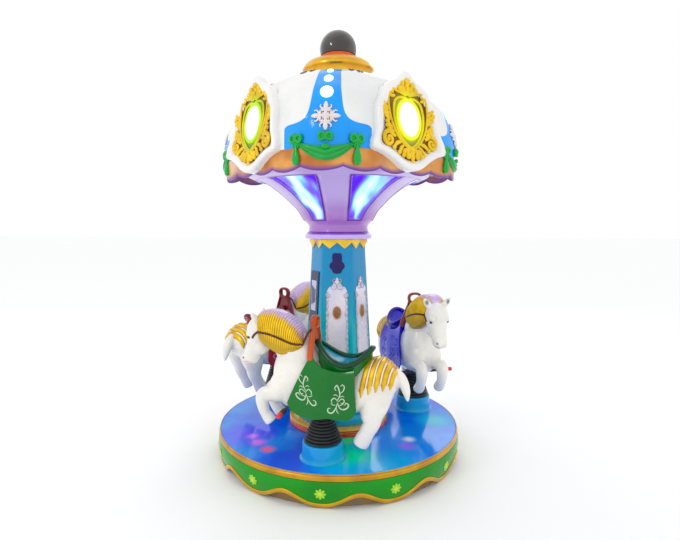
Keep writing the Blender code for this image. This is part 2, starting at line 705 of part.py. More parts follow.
def mane_mesh():
    rings = []
    for station in MANE:
        ring = [mane_point(station, share, 1.0) for share in MANE_SHARES]
        ring += [mane_point(station, share, -1.0) for share in reversed(MANE_SHARES[:-1])]
        inner = [Vector((point.x, point.y / 2, point.z - MANE_DEPTH)) for point in reversed(ring)]
        rings.append(ring + inner)
    return loft(rings)


def rod_mesh(radius, half_length, place):
    """A rod across the horse."""
    bm = bmesh.new()
    turn = Matrix.Rotation(math.radians(90.0), 4, "X")
    bmesh.ops.create_cone(bm, cap_ends=True, segments=HOLE_SIDES, radius1=radius, radius2=radius,
                          depth=2.0 * half_length, matrix=Matrix.Translation(place) @ turn)
    mesh = bpy.data.meshes.new("rod")
    bm.to_mesh(mesh)
    bm.free()
    return mesh


def boss_mesh():
    """The flat seat under the belly that the moving post carries."""
    low = BELLOWS_TOP + GAP
    middle = post_place() + Vector((0.0, 0.0, (low + BOSS_TOP) / 2))
    bm = bmesh.new()
    bmesh.ops.create_cone(bm, cap_ends=True, segments=HOLE_SIDES, radius1=BOSS_RADIUS, radius2=BOSS_RADIUS,
                          depth=BOSS_TOP - low, matrix=Matrix.Translation(middle))
    mesh = bpy.data.meshes.new("boss")
    bm.to_mesh(mesh)
    bm.free()
    return mesh


def horse_mesh():
    body = torso_mesh()
    pieces = [tube(NECK), tube(HEAD), mane_mesh(), tube(TAIL, LEG_SIDES), boss_mesh()]
    for side in (1.0, -1.0):
        pieces.append(tube(FORE_LEG, LEG_SIDES, side))
        pieces.append(tube(HIND_LEG, LEG_SIDES, side))
        pieces.append(tube(EAR, LEG_SIDES - 2, side))
    for piece in pieces:
        body = combine(body, piece, "UNION")
    hole = rod_mesh(PEG_RADIUS + GAP, PEG_HALF_LENGTH, (PEG_PLACE[0], 0.0, PEG_PLACE[1]))
    return triangulated(combine(body, hole, "DIFFERENCE"))


def along_edge(edge, share):
    """A point on an edge of the cloth, at a share of the way from its front to its rear."""
    places = np.linspace(0.0, 1.0, len(edge))
    return [float(np.interp(share, places, column)) for column in zip(*edge)]


def cloth_mesh():
    """The saddle cloth: an arch over the back whose flanks swell outward below the seat."""
    rings = []
    for step in range(CLOTH_STATIONS):
        share = step / (CLOTH_STATIONS - 1)
        high_x, high_half, high_z = along_edge(CLOTH_HIGH_EDGE, share)
        low_x, low_half, low_z = along_edge(CLOTH_LOW_EDGE, share)
        outer = []
        inner = []
        for down in CLOTH_SHARES:
            x = high_x + (low_x - high_x) * down
            z = high_z + (low_z - high_z) * down
            half = high_half + (low_half - high_half) * down + CLOTH_SWELL * math.sin(math.pi * down)
            outer.append((x, half, z))
            inner.append((x, half - CLOTH_THICKNESS, z))
        inner[0] = (high_x, high_half - CLOTH_THICKNESS, high_z - CLOTH_TOP_DEPTH)
        left = [Vector(point) for point in reversed(outer)]
        right = [Vector((x, -half, z)) for x, half, z in outer]
        right_inner = [Vector((x, -half, z)) for x, half, z in reversed(inner)]
        left_inner = [Vector(point) for point in inner]
        rings.append(left + right + right_inner + left_inner)
    return loft(rings)


def seat_mesh():
    """The seat: a skirt up to a round rim, and a bowl inside it between the pommel and the cantle."""
    middle = Vector((SEAT_MIDDLE[0], 0.0, SEAT_MIDDLE[1]))
    columns = []
    for step in range(SEAT_COLUMNS):
        angle = 2.0 * math.pi * step / SEAT_COLUMNS
        ahead = (1.0 + math.cos(angle)) / 2
        behind = (1.0 - math.cos(angle)) / 2
        rim = Vector((SEAT_MIDDLE[0] + SEAT_HALF[0] * math.cos(angle),
                      SEAT_HALF[1] * math.sin(angle) * (1.0 - POMMEL_PINCH * ahead ** 3),
                      SEAT_LOW + POMMEL_RISE * ahead ** POMMEL_SHARPNESS
                      + CANTLE_RISE * behind ** CANTLE_SHARPNESS))
        reach = rim - middle
        away = Vector((reach.x, reach.y, 0.0)).normalized() * RIM_RADIUS
        column = [Vector((middle.x + reach.x * SEAT_FLOOR_SHARE, reach.y * SEAT_FLOOR_SHARE, SEAT_FLOOR)),
                  Vector((rim.x, rim.y, min(rim.z, SEAT_LOW + RIM_RADIUS) - 2.0 * RIM_RADIUS)),
                  rim + away, rim + Vector((0.0, 0.0, RIM_RADIUS)), rim - away]
        for share, rise in BOWL_RINGS:
            column.append(middle + Vector((reach.x * share, reach.y * share, reach.z * rise)))
        columns.append(column)
    return loft([list(row) for row in zip(*columns)])


def saddle_mesh(skin):
    return triangulated(combine(combine(cloth_mesh(), seat_mesh(), "UNION"), skin, "DIFFERENCE"))


def handle_mesh(horse_skin, saddle_skin):
    """An A-shaped plate with an open loop at its top, notched round the pommel and the cloth behind it."""
    loop = []
    for step in range(LOOP_SIDES):
        angle = 2.0 * math.pi * step / LOOP_SIDES
        loop.append((LOOP_HALF[0] * math.cos(angle), LOOP_HEIGHT + LOOP_HALF[1] * math.sin(angle)))
    plate = outline_mesh(mirrored(HANDLE_HALF), HANDLE_THICKNESS, (loop,))
    across = Matrix(((0, 0, 1, HANDLE_X), (1, 0, 0, 0), (0, 1, 0, 0), (0, 0, 0, 1)))
    plate.transform(across)
    return combine(combine(plate, horse_skin, "DIFFERENCE"), saddle_skin, "DIFFERENCE")


def bellows_profile(top):
    """Folds that taper from the bottom radius to the top one, listed from the top down."""
    profile = [(0.0, top)]
    steps = BELLOWS_FOLDS * 2
    for step in range(steps + 1):
        share = step / steps
        radius = BELLOWS_RADII[0] + (BELLOWS_RADII[1] - BELLOWS_RADII[0]) * share
        if step % 2 == 0:
            radius -= BELLOWS_DEPTH
        profile.append((radius, top + (BELLOWS_BOTTOM - top) * share))
    profile.append((0.0, BELLOWS_BOTTOM))
    return profile


def make_horses():
    horse = horse_mesh()
    skin = grown(horse, 2.0 * GAP)
    saddle = saddle_mesh(skin.copy())
    handle = handle_mesh(skin.copy(), grown(saddle, 2.0 * GAP))
    peg = rod_mesh(PEG_RADIUS, PEG_HALF_LENGTH, (PEG_PLACE[0], 0.0, PEG_PLACE[1]))
    cloths = ("green", "cobalt", "red")
    grips = ("red", "orange", "red")
    for index in range(HORSE_COUNT):
        number = index + 1
        post = polar(HORSE_CIRCLE, 360.0 / HORSE_COUNT * index + POST_TURN, 0.0)
        low = DECK_TOP + GAP
        turned(f"pedestal_{number}", [(0.0, low + PEDESTAL_PROFILE[0][1])]
               + [(radius, low + height) for radius, height in PEDESTAL_PROFILE] + [(0.0, low)],
               "blue", 20, place=post)
        turned(f"bellows_{number}", bellows_profile(BELLOWS_TOP + HORSE_LIFTS[index]), "black", 16, place=post)
        for name, mesh, colour in ((f"horse_{number}", horse, "white"),
                                   (f"saddle_{number}", saddle, cloths[index]),
                                   (f"handle_{number}", handle, grips[index]),
                                   (f"footpeg_{number}", peg, "black")):
            part = add_part(name, mesh.copy(), colour, 50.0)
            part.matrix_world = horse_frame(index)


clear_scene()
PARTS = new_collection("carousel", False)
CUTTERS = new_collection("cutters", True)
make_base()
make_deck()
make_skirt()
make_column()
make_flare()
make_canopy()
make_top()
make_horses()
for item in (*PARTS.objects, *CUTTERS.objects):
    item.location.z += DATUM
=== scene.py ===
import math

import bpy
import numpy as np
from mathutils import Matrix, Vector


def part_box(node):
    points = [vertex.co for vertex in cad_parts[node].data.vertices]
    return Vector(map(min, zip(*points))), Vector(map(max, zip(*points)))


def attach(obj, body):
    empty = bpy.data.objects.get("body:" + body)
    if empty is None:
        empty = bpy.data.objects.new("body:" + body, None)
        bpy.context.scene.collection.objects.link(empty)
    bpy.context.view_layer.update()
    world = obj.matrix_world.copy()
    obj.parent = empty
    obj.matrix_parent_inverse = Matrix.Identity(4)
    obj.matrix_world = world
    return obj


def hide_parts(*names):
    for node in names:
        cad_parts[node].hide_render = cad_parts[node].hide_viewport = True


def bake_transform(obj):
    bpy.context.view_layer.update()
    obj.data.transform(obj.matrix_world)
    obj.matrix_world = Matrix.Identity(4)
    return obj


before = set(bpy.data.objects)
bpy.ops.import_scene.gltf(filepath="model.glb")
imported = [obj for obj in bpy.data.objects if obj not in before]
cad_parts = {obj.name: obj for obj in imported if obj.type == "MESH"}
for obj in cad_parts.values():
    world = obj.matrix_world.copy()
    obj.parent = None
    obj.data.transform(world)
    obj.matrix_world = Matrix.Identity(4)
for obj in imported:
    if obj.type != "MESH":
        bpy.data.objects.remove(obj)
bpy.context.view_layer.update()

# Children's carousel: a turning deck with three horses, a lit column and flare, and a domed canopy.
# Lengths are metres. Angles are degrees, counted from the front (-Y) toward +X.
# Heights are counted from a level that stands this far above the floor, as in the CAD's own source.
datum = 0.038


def nodeBox(node):
    # a node's lowest and highest corners, with their heights above the datum
    low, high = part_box(node)
    return [type(low)((corner.x, corner.y, corner.z - datum)) for corner in (low, high)]


# Surfaces. A shape is a dictionary of points, quads, triangles and per-point values.

def around(count):
    return np.linspace(0, 2 * math.pi, count, endpoint=False)


def spots(*parts):
    # coordinates side by side, each spread over the whole grid
    return np.stack(np.broadcast_arrays(*parts), -1)


def raised(line, height):
    # a flat line of (x, y) with its heights above the drawing
    return np.column_stack([line, np.broadcast_to(height, len(line))])


def compass(angle):
    # the level directions across and outward, at an angle from the front
    c, s = math.cos(angle), math.sin(angle)
    return np.array([c, s, 0.0]), np.array([s, -c, 0.0])


def gridFaces(rows, columns, wrapRows, wrapColumns):
    # one quad for each cell of the grid, the last row or column joined to the first where it wraps
    i, j = np.meshgrid(np.arange(rows if wrapRows else rows - 1),
                       np.arange(columns if wrapColumns else columns - 1), indexing="ij")
    below, beside = (i + 1) % rows, (j + 1) % columns
    return np.stack([i * columns + j, i * columns + beside, below * columns + beside,
                     below * columns + j], -1).reshape(-1, 4)


def surface(points, wrapRows=False, wrapColumns=True, caps=True, **values):
    # a grid of points as a closed skin; an open end gets a fan of triangles round its middle
    rows, columns = points.shape[:2]
    flat = points.reshape(-1, 3)
    quads = gridFaces(rows, columns, wrapRows, wrapColumns)
    tris = np.zeros((0, 3), int)
    spread = {key: np.broadcast_to(value, (rows, columns)).reshape(-1) for key, value in values.items()}
    if caps and not wrapRows:
        ring = np.arange(columns)
        after = (ring + 1) % columns
        ends = []
        for row in (0, rows - 1):
            middle = len(flat)
            flat = np.vstack([flat, points[row].mean(0)])
            spread = {key: np.append(value, value[row * columns:(row + 1) * columns].mean())
                      for key, value in spread.items()}
            fan = np.stack([row * columns + ring, row * columns + after, np.full(columns, middle)], -1)
            ends.append(fan[:, ::-1] if row == 0 else fan)
        tris = np.vstack(ends)
    return outward({"points": flat, "quads": quads, "tris": tris, "values": spread})


def outward(shape):
    # six times the enclosed volume is the sum of the triangles' determinants; below zero it is inside out
    q, t, p = shape["quads"], shape["tris"], shape["points"]
    corners = np.vstack([q[:, [0, 1, 2]], q[:, [0, 2, 3]], t])
    a, b, c = (p[corners[:, k]] for k in range(3))
    if np.einsum("ij,ij->", a - p.mean(0), np.cross(b - p.mean(0), c - p.mean(0))) < 0:
        shape["quads"], shape["tris"] = q[:, ::-1], t[:, ::-1]
    return shape


def merged(shapes):
    # several shapes as one; a value that one of them lacks is zero there
    names = sorted({key for shape in shapes for key in shape["values"]})
    points, quads, tris, values, start = [], [], [], {name: [] for name in names}, 0
    for shape in shapes:
        count = len(shape["points"])
        points.append(shape["points"])
        quads.append(shape["quads"] + start)
        tris.append(shape["tris"] + start)
        for name in names:
            values[name].append(shape["values"].get(name, np.zeros(count)))
        start += count
    return {"points": np.vstack(points), "quads": np.vstack(quads), "tris": np.vstack(tris),
            "values": {name: np.concatenate(parts) for name, parts in values.items()}}


def moved(shape, matrix, offset=(0, 0, 0)):
    # the points times a 3 x 3 matrix, plus an offset
    return outward({**shape, "points": shape["points"] @ np.asarray(matrix).T + np.asarray(offset)})


def turnedRound(shape, degrees):
    c, s = math.cos(math.radians(degrees)), math.sin(math.radians(degrees))
    return moved(shape, [[c, -s, 0], [s, c, 0], [0, 0, 1]])


def mirrored(shape):
    return moved(shape, [[-1, 0, 0], [0, 1, 0], [0, 0, 1]])


def bothSides(half):
    # a half outline, from its top middle to its bottom middle, and its mirror image
    p = np.asarray(half, float)
    return np.vstack([p, (p * [-1, 1])[::-1][1:-1]])


def piece(name, shapes, finish, body, replaces=(), sharp=40.0):
    # a mesh object with its finish and its body; the nodes that it stands for are hidden
    shape = merged(shapes if isinstance(shapes, list) else [shapes])
    mesh = bpy.data.meshes.new(name)
    points = shape["points"] + [0, 0, datum]
    mesh.from_pydata(points.tolist(), [], shape["quads"].tolist() + shape["tris"].tolist())
    for key, value in shape["values"].items():
        mesh.attributes.new(key, "FLOAT", "POINT").data.foreach_set("value", value.astype(np.float32))
    mesh.update()
    mesh.shade_smooth()
    mesh.set_sharp_from_angle(angle=math.radians(sharp))
    item = bpy.data.objects.new(name, mesh)
    bpy.context.scene.collection.objects.link(item)
    mesh.materials.append(finish)
    if body:
        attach(item, body)
    if replaces:
        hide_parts(*replaces)
    return item


def smoothLine(points, count, closed=False):
    # a Catmull-Rom curve through the points, evenly spaced in its parameter
    p = np.asarray(points, float)
    n = len(p)
    spans = n if closed else n - 1
    at = np.linspace(0, spans, count, endpoint=not closed)
    k = np.minimum(at.astype(int), spans - 1)
    t = (at - k)[:, None]
    if closed:
        before, here, there, after = p[(k - 1) % n], p[k % n], p[(k + 1) % n], p[(k + 2) % n]
    else:
        before, here, there = p[np.maximum(k - 1, 0)], p[k], p[k + 1]
        after = p[np.minimum(k + 2, n - 1)]
    return 0.5 * (2 * here + (there - before) * t + (2 * before - 5 * here + 4 * there - after) * t ** 2
                  + (3 * here - before - 3 * there + after) * t ** 3)


def smoothStep(low, high, x):
    # 0 at low, 1 at high and a cubic ease between
    t = np.clip((x - low) / (high - low), 0, 1)
    return t * t * (3 - 2 * t)


def turned(profile, count=160, place=(0, 0), **values):
    # a profile of (radius, height) carried round an upright axis
    p = np.asarray(profile, float)
    angle = around(count)
    return surface(spots(place[0] + p[:, :1] * np.sin(angle), place[1] - p[:, :1] * np.cos(angle), p[:, 1:]),
                   **values)


def tube(path, radii, sides=10, up=(0, 0, 1), closed=False, **values):
    # an elliptic section carried along a path; radii are a number for each point, or (across, along up)
    path, radii = np.asarray(path, float), np.asarray(radii, float)
    radii = np.broadcast_to(np.stack([radii, radii], -1) if radii.ndim == 1 else radii, (len(path), 2))
    ahead = (np.roll(path, -1, 0) - np.roll(path, 1, 0)) if closed else np.gradient(path, axis=0)
    ahead = ahead / np.linalg.norm(ahead, axis=1, keepdims=True)
    side = np.cross(ahead, np.broadcast_to(np.asarray(up, float), path.shape))
    side = side / np.linalg.norm(side, axis=1, keepdims=True)
    rise = np.cross(side, ahead)
    angle = around(sides)
    grid = (path[:, None] + side[:, None] * (radii[:, 0, None] * np.cos(angle))[..., None]
            + rise[:, None] * (radii[:, 1, None] * np.sin(angle))[..., None])
    return surface(grid, wrapRows=closed, **values)


def ellipsoid(x, y, z, deep, wide, tall, rows=18, columns=24):
    # rings from pole to pole: sine for their width, cosine for their height
    a = np.linspace(0.02, math.pi - 0.02, rows)[:, None]
    b = around(columns)
    return surface(spots(x + deep * np.sin(a) * np.cos(b), y + wide * np.sin(a) * np.sin(b),
                         z + tall * np.cos(a)))


def spiral(centre, size, turns, start=0.0, hand=1, shrink=0.22, count=28):
    # a flat scroll whose radius shrinks toward its eye as it turns; points run from its mouth inward
    t = np.linspace(0, 1, count)
    angle = math.radians(start) + hand * 2 * math.pi * turns * t
    radius = size * (shrink + (1 - shrink) * (1 - t) ** 1.15)
    return np.stack([centre[0] + radius * np.cos(angle), centre[1] + radius * np.sin(angle)], -1)


def plate(outline, thickness, bulge=0.0, rings=10, edge=0.35, **values):
    # a flat slab in XY with rounded rims: rings shrink from the outline to its middle, on both faces
    out = np.asarray(outline, float)
    middle = out.mean(0)
    share = np.linspace(0.0, 1.0, rings)
    rim = np.sin(np.linspace(-math.pi / 2, math.pi / 2, 7))
    rimDepth = thickness * edge
    reach = np.linalg.norm(out - middle, axis=1).mean()
    rows, heights = [], []
    for k in share[1:]:
        rows.append(k * (1 - rimDepth / reach))
        heights.append(-thickness / 2)
    for k in rim:
        rows.append(1 - rimDepth / reach * (1 - math.sqrt(max(0.0, 1 - k * k))))
        heights.append(k * thickness / 2)
    for k in share[:0:-1]:
        rows.append(k * (1 - rimDepth / reach))
        heights.append(thickness / 2 + bulge * (1 - k * k))
    rows, heights = np.array(rows), np.array(heights)
    grid = np.empty((len(rows), len(out), 3))
    grid[..., :2] = middle + (out - middle) * rows[:, None, None]
    grid[..., 2] = heights[:, None]
    return surface(grid, **values)


# Finishes. Value wraps a socket, so that shader maths is written as plain expressions.

class Value:
    def __init__(self, finish, socket):
        self.finish, self.socket = finish, socket

    def maths(self, operation, *others):
        return self.finish.node("ShaderNodeMath", {"operation": operation}, *others)

    def __add__(self, other): return self.maths("ADD", self, other)
    def __radd__(self, other): return self.maths("ADD", other, self)
    def __sub__(self, other): return self.maths("SUBTRACT", self, other)
    def __rsub__(self, other): return self.maths("SUBTRACT", other, self)
    def __mul__(self, other): return self.maths("MULTIPLY", self, other)
    def __rmul__(self, other): return self.maths("MULTIPLY", other, self)
    def __truediv__(self, other): return self.maths("DIVIDE", self, other)
    def __pow__(self, other): return self.maths("POWER", self, other)
    def __neg__(self): return self.maths("MULTIPLY", self, -1.0)

    def sine(self): return self.maths("SINE", self)
    def absolute(self): return self.maths("ABSOLUTE", self)
    def clamped(self): return self.maths("MINIMUM", self.maths("MAXIMUM", self, 0.0), 1.0)


class Finish:
    def __init__(self, name, **constants):
        self.material = bpy.data.materials.new(name)
        self.material.use_nodes = True
        self.tree = self.material.node_tree
        self.shader = self.tree.nodes["Principled BSDF"]
        for key, value in constants.items():
            self.shader.inputs[key.replace("_", " ")].default_value = value

    def node(self, kind, settings, *values, output=0, **named):
        made = self.tree.nodes.new(kind)
        for key, value in (settings or {}).items():
            if key == "stops":
                while len(made.color_ramp.elements) < len(value):
                    made.color_ramp.elements.new(0.5)
                for stop, (place, hue) in zip(made.color_ramp.elements, value):
                    stop.position, stop.color = place, (*hue, 1.0)
            else:
                setattr(made, key, value)
        links = list(enumerate(values)) + [(key.replace("_", " "), value) for key, value in named.items()]
        for key, value in links:
            self.feed(made.inputs[key], value)
        return Value(self, made.outputs[output])

    def feed(self, socket, value):
        if isinstance(value, Value):
            self.tree.links.new(value.socket, socket)
        else:
            socket.default_value = value

    def set(self, **sockets):
        for key, value in sockets.items():
            if isinstance(value, tuple) and len(value) == 3 and key in ("Base_Color", "Emission_Color"):
                value = (*value, 1.0)
            self.feed(self.shader.inputs[key.replace("_", " ")], value)
        return self.material

    def place(self):
        return self.node("ShaderNodeTexCoord", None, output="Object")

    def axis(self, which):
        coordinate = self.node("ShaderNodeSeparateXYZ", None, self.place(), output=which)
        return coordinate - datum if which == "Z" else coordinate

    def painted(self, name):
        return self.node("ShaderNodeAttribute", {"attribute_name": name}, output="Fac")

    def noise(self, scale, detail=3.0, roughness=0.5, vector=None):
        return self.node("ShaderNodeTexNoise", None, Vector=vector or self.place(), Scale=scale,
                         Detail=detail, Roughness=roughness)

    def cloud(self, scale, low, high, detail=3.0):
        return self.step(self.noise(scale, detail), low, high)

    def hollow(self, low, high):
        # one in the mesh's hollows, by its pointiness; the finishes paint shade with it
        return 1.0 - self.step(self.node("ShaderNodeNewGeometry", None, output="Pointiness"), low, high)

    def ramp(self, value, stops):
        return self.node("ShaderNodeValToRGB", {"stops": stops}, value)

    def pool(self, x, y, reach):
        # a soft round pool of painted light on the deck: one at the spot, nothing past its reach
        middle = (x, y, deckTop + datum)
        away = self.node("ShaderNodeVectorMath", {"operation": "DISTANCE"}, self.place(), middle,
                         output="Value")
        return self.step(away, reach, 0.0)

    def mixed(self, share, first, second):
        made = self.tree.nodes.new("ShaderNodeMix")
        made.data_type = "RGBA"
        for key, value in ((0, share), (6, first), (7, second)):
            self.feed(made.inputs[key], (*value, 1.0) if isinstance(value, tuple) else value)
        return Value(self, made.outputs[2])

    def step(self, value, low, high):
        return self.node("ShaderNodeMapRange", {"interpolation_type": "SMOOTHSTEP"}, value, low, high)

    def bump(self, height, strength=0.3, distance=0.002):
        return self.node("ShaderNodeBump", None, Strength=strength, Distance=distance, Height=height)


def colour(red, green, blue):
    # a colour picked on a screen, 0 to 255, as linear light
    return tuple(((c / 255 + 0.055) / 1.055) ** 2.4 if c > 10 else c / 3294.6 for c in (red, green, blue))


def darker(paint, share):
    return colour(*(c * share for c in paint))


def gelCoat(name, main, dark=None, roughness=0.2, coat=0.25, wobble=0.0006):
    # sprayed gloss on moulded glass fibre: faint cloudiness in the tint, dust in the gloss, a slow ripple
    finish = Finish(name, Coat_Weight=coat, Coat_Roughness=0.05, Specular_IOR_Level=0.22)
    clouds = finish.noise(5.0, 4.0)
    grime = finish.noise(38.0, 4.0)
    dark = dark or tuple(c * 0.72 for c in main)
    return finish.set(Base_Color=finish.mixed(finish.step(clouds, 0.35, 0.75) * 0.55, main, dark),
                      Roughness=roughness + finish.step(grime, 0.45, 0.75) * 0.10,
                      Normal=finish.bump(finish.noise(14.0, 2.0), 0.25, wobble))


def goldPaint(name, bright, deep, metallic=0.75, roughness=0.26):
    # metallic paint: painted shade in the hollows, a deeper tone in broad clouds, fine flake in the gloss
    finish = Finish(name, Coat_Weight=0.2, Coat_Roughness=0.12, Metallic=metallic)
    clouds = finish.cloud(9.0, 0.35, 0.7, 4.0)
    flake = finish.noise(420.0, 2.0)
    # painted shade: the gold turns to its deep tone in the hollows
    hollow = finish.hollow(0.46, 0.54)
    return finish.set(Base_Color=finish.mixed((clouds * 0.4 + hollow * 0.6).clamped(), bright, deep),
                      Roughness=roughness + flake * 0.10,
                      Normal=finish.bump(flake, 0.12, 0.0004))


def lit(name, hue, strength, rim=None):
    # a lamp behind a milky cover: brightest in its middle, its colour stronger toward its rim
    finish = Finish(name, Roughness=0.2, Emission_Strength=strength)
    share = finish.painted("edge")
    return finish.set(Base_Color=hue, Emission_Color=finish.mixed(share, (1.0, 1.0, 1.0), rim or hue))


# Camera, lights and floor

view = {
    "side": 7.03,          # degrees round from the front
    "away": 2.8125,        # from the axis
    "height": 1.2519,
    "down": 5.386,         # degrees
    "sideways": -0.177,    # degrees, the small turn that puts the axis left of the middle
    "lens": 26.54,
}


def makeCamera():
    data = bpy.data.cameras.new("camera")
    data.lens, data.sensor_width, data.clip_end = view["lens"], 36.0, 50.0
    camera = bpy.data.objects.new("camera", data)
    bpy.context.scene.collection.objects.link(camera)
    angle = math.radians(view["side"])
    camera.location = (view["away"] * math.sin(angle), -view["away"] * math.cos(angle),
                       view["height"] + datum)
    camera.rotation_euler = (math.radians(90 - view["down"]), 0, angle + math.radians(view["sideways"]))
    bpy.context.scene.camera = camera


studio = {
    "sky": ((1.0, 1.0, 1.0), 1.0),
    "lamps": (  # name, place, size, power, colour, aimed at
        ("key", (-2.6, -3.2, 3.6), 1.0, 44.0, (1.0, 0.99, 0.97), (0, 0, 1.0)),
        ("fill", (3.2, -2.2, 2.2), 0.8, 14.0, (0.97, 0.98, 1.0), (0, 0, 1.0)),
        ("back", (0.6, 3.6, 3.0), 2.4, 20.0, (1.0, 1.0, 1.0), (0, 0, 1.2)),
    ),
    "floorReach": 40.0,
}


def makeStudio():
    world = bpy.data.worlds.new("studio")
    bpy.context.scene.world = world
    world.use_nodes = True
    sky, strength = studio["sky"]
    world.node_tree.nodes["Background"].inputs["Color"].default_value = (*sky, 1.0)
    world.node_tree.nodes["Background"].inputs["Strength"].default_value = strength
    for name, spot, size, power, tint, target in studio["lamps"]:
        data = bpy.data.lights.new(name, "AREA")
        data.energy, data.size, data.color = power, size, tint
        lamp = bpy.data.objects.new(name, data)
        bpy.context.scene.collection.objects.link(lamp)
        lamp.location = spot
        aim = np.asarray(target, float) - np.asarray(spot, float)
        lamp.rotation_euler = (math.acos(-aim[2] / np.linalg.norm(aim)), 0,
                               math.atan2(aim[0], -aim[1]) * -1 + math.pi)
    bpy.context.scene.view_settings.view_transform = "Standard"
    finish = Finish("floorPaint", Specular_IOR_Level=0.1)
    finish.set(Base_Color=finish.mixed(finish.noise(3.0) * 0.3, (0.975, 0.98, 0.985), (0.965, 0.97, 0.975)),
               Roughness=0.9)
    reach = studio["floorReach"]
    points = np.array([[-reach, -reach, -datum], [reach, -reach, -datum], [-reach, reach, -datum],
                       [reach, reach, -datum]])
    flat = {"points": points, "quads": np.array([[0, 1, 3, 2]]),
            "tris": np.zeros((0, 3), int), "values": {}}
    floor = piece("studio_floor", flat, finish.material, None)


makeCamera()
makeStudio()
print("camera, lights and floor are in place")


# Base and turning deck

deckTop = nodeBox("deck")[1].z
rimRadius = nodeBox("rim_band")[1].x

base = {
    "scallops": 12,
    "hemLow": -0.034, "hemHigh": 0.022, "hemSharpness": 1.35,
    "bandWidth": 0.022, "thickness": 0.005,
    "bulge": 0.676, "bulgeHeight": 0.068, "drawIn": (2.35, 5.9),    # below and above the bulge
    "rimBottom": nodeBox("rim_band")[0].z,
    "rimWidth": 0.008,
    "flowerSize": 0.027, "flowerHeight": 0.040, "flowerLean": -0.13,
    "petals": 8,    # the skirt widens upward there
    # painted pools of the coloured lamps' light on the deck: x, y, reach, hue
    "lightPools": ((-0.44, -0.28, 0.20, (88, 70, 250)), (0.10, -0.56, 0.24, (0, 190, 236)),
              (0.30, -0.52, 0.20, (0, 176, 232)),
              (0.13, -0.46, 0.15, (0, 250, 170)), (0.06, -0.28, 0.16, (0, 236, 120)),
              (-0.30, -0.45, 0.055, (255, 96, 130)),
              (-0.37, -0.38, 0.060, (226, 110, 240)), (-0.42, -0.31, 0.050, (200, 120, 250)),
              (0.39, -0.33, 0.070, (150, 110, 250)),
              (0.40, -0.25, 0.050, (226, 236, 255)), (-0.10, 0.50, 0.22, (0, 176, 232)),
              (0.42, 0.30, 0.20, (88, 70, 250)),
              (-0.45, 0.28, 0.20, (0, 190, 220)), (0.55, 0.02, 0.14, (0, 200, 236))),
}


def skirtRadius(height):
    # widest at the bulge height; the square of the distance from it draws the skirt in
    offset = height - base["bulgeHeight"]
    return base["bulge"] - np.where(offset < 0, *base["drawIn"]) * offset ** 2


def hemHeight(angle):
    # a raised cosine with twelve waves round the ring, its humps narrower than its troughs
    wave = 0.5 - 0.5 * np.cos(base["scallops"] * angle)
    return base["hemLow"] + (base["hemHigh"] - base["hemLow"]) * wave ** base["hemSharpness"]


def ringGrid(angle, radius, height):
    return spots(radius * np.sin(angle), -radius * np.cos(angle), height)


def makeSkirt():
    angle = around(480)
    low = hemHeight(angle)
    top = base["rimBottom"]
    share = np.linspace(0, 1, 12)[:, None]
    height = low + (top - low) * share
    outside, inside = (ringGrid(angle, skirtRadius(height) - depth, height)
                       for depth in (0, base["thickness"]))
    skirt = surface(np.concatenate([outside, inside[::-1]]), wrapRows=True)
    piece("skirt_shell", skirt, gelCoat("skirtGreen", colour(0, 152, 8), colour(0, 118, 4)), "turntable",
          ("skirt",))
    bandRows = []
    for across, depth in ((0.0, 0.0005), (0.5, 0.0005), (1.0, 0.0005), (1.0, 0.002), (0.86, 0.0048),
                          (0.6, 0.0062), (0.35, 0.0068), (0.12, 0.0062), (0.0, 0.003)):
        bandHeight = low + base["bandWidth"] * across
        bandRows.append(ringGrid(angle, skirtRadius(bandHeight) + depth, bandHeight))
    piece("hem_moulding", surface(np.array(bandRows), wrapRows=True),
          goldPaint("hemGold", colour(228, 178, 32), colour(150, 96, 12)), "turntable", ("hem_band",))


def flowerShape():
    # petals from the absolute cosine of the angle, domed toward the middle, round a raised button
    angle = around(96)
    petal = 0.52 + 0.48 * np.abs(np.cos(base["petals"] * angle / 2)) ** 0.7
    share = np.array([1.0, 1.0, 0.92, 0.78, 0.6, 0.42, 0.36, 0.30, 0.2, 0.08])[:, None]
    lift = np.array([0.0, 0.0009, 0.0020, 0.0025, 0.0024, 0.0017, 0.0022, 0.0031, 0.0036, 0.0037])[:, None]
    reach = base["flowerSize"] * share * np.where(share > 0.4, petal, 1.0)
    ridge = 0.0005 * np.cos(base["petals"] * angle) * np.sin(math.pi * np.clip(share, 0, 1))
    grid = spots(reach * np.cos(angle), reach * np.sin(angle), lift + ridge * (share > 0.4))
    return surface(grid, heart=(share < 0.39).astype(float))


def makeFlowers():
    lean = base["flowerLean"]
    across, up = np.array([1.0, 0, 0]), np.array([0, math.sin(lean), math.cos(lean)])
    out = np.cross(across, up)
    radius = float(skirtRadius(np.array(base["flowerHeight"]))) + 0.0002
    one = moved(flowerShape(), np.stack([across, up, out], 1), (0, -radius, base["flowerHeight"]))
    finish = Finish("flowerPaint", Coat_Weight=0.4)
    finish.set(Base_Color=finish.mixed(finish.painted("heart"), colour(150, 222, 20), colour(226, 214, 40)),
               Roughness=0.25 + finish.noise(60.0) * 0.15)
    piece("skirt_flowers", [turnedRound(one, angle) for angle in range(0, 360, 30)], finish.material,
          "turntable", ())


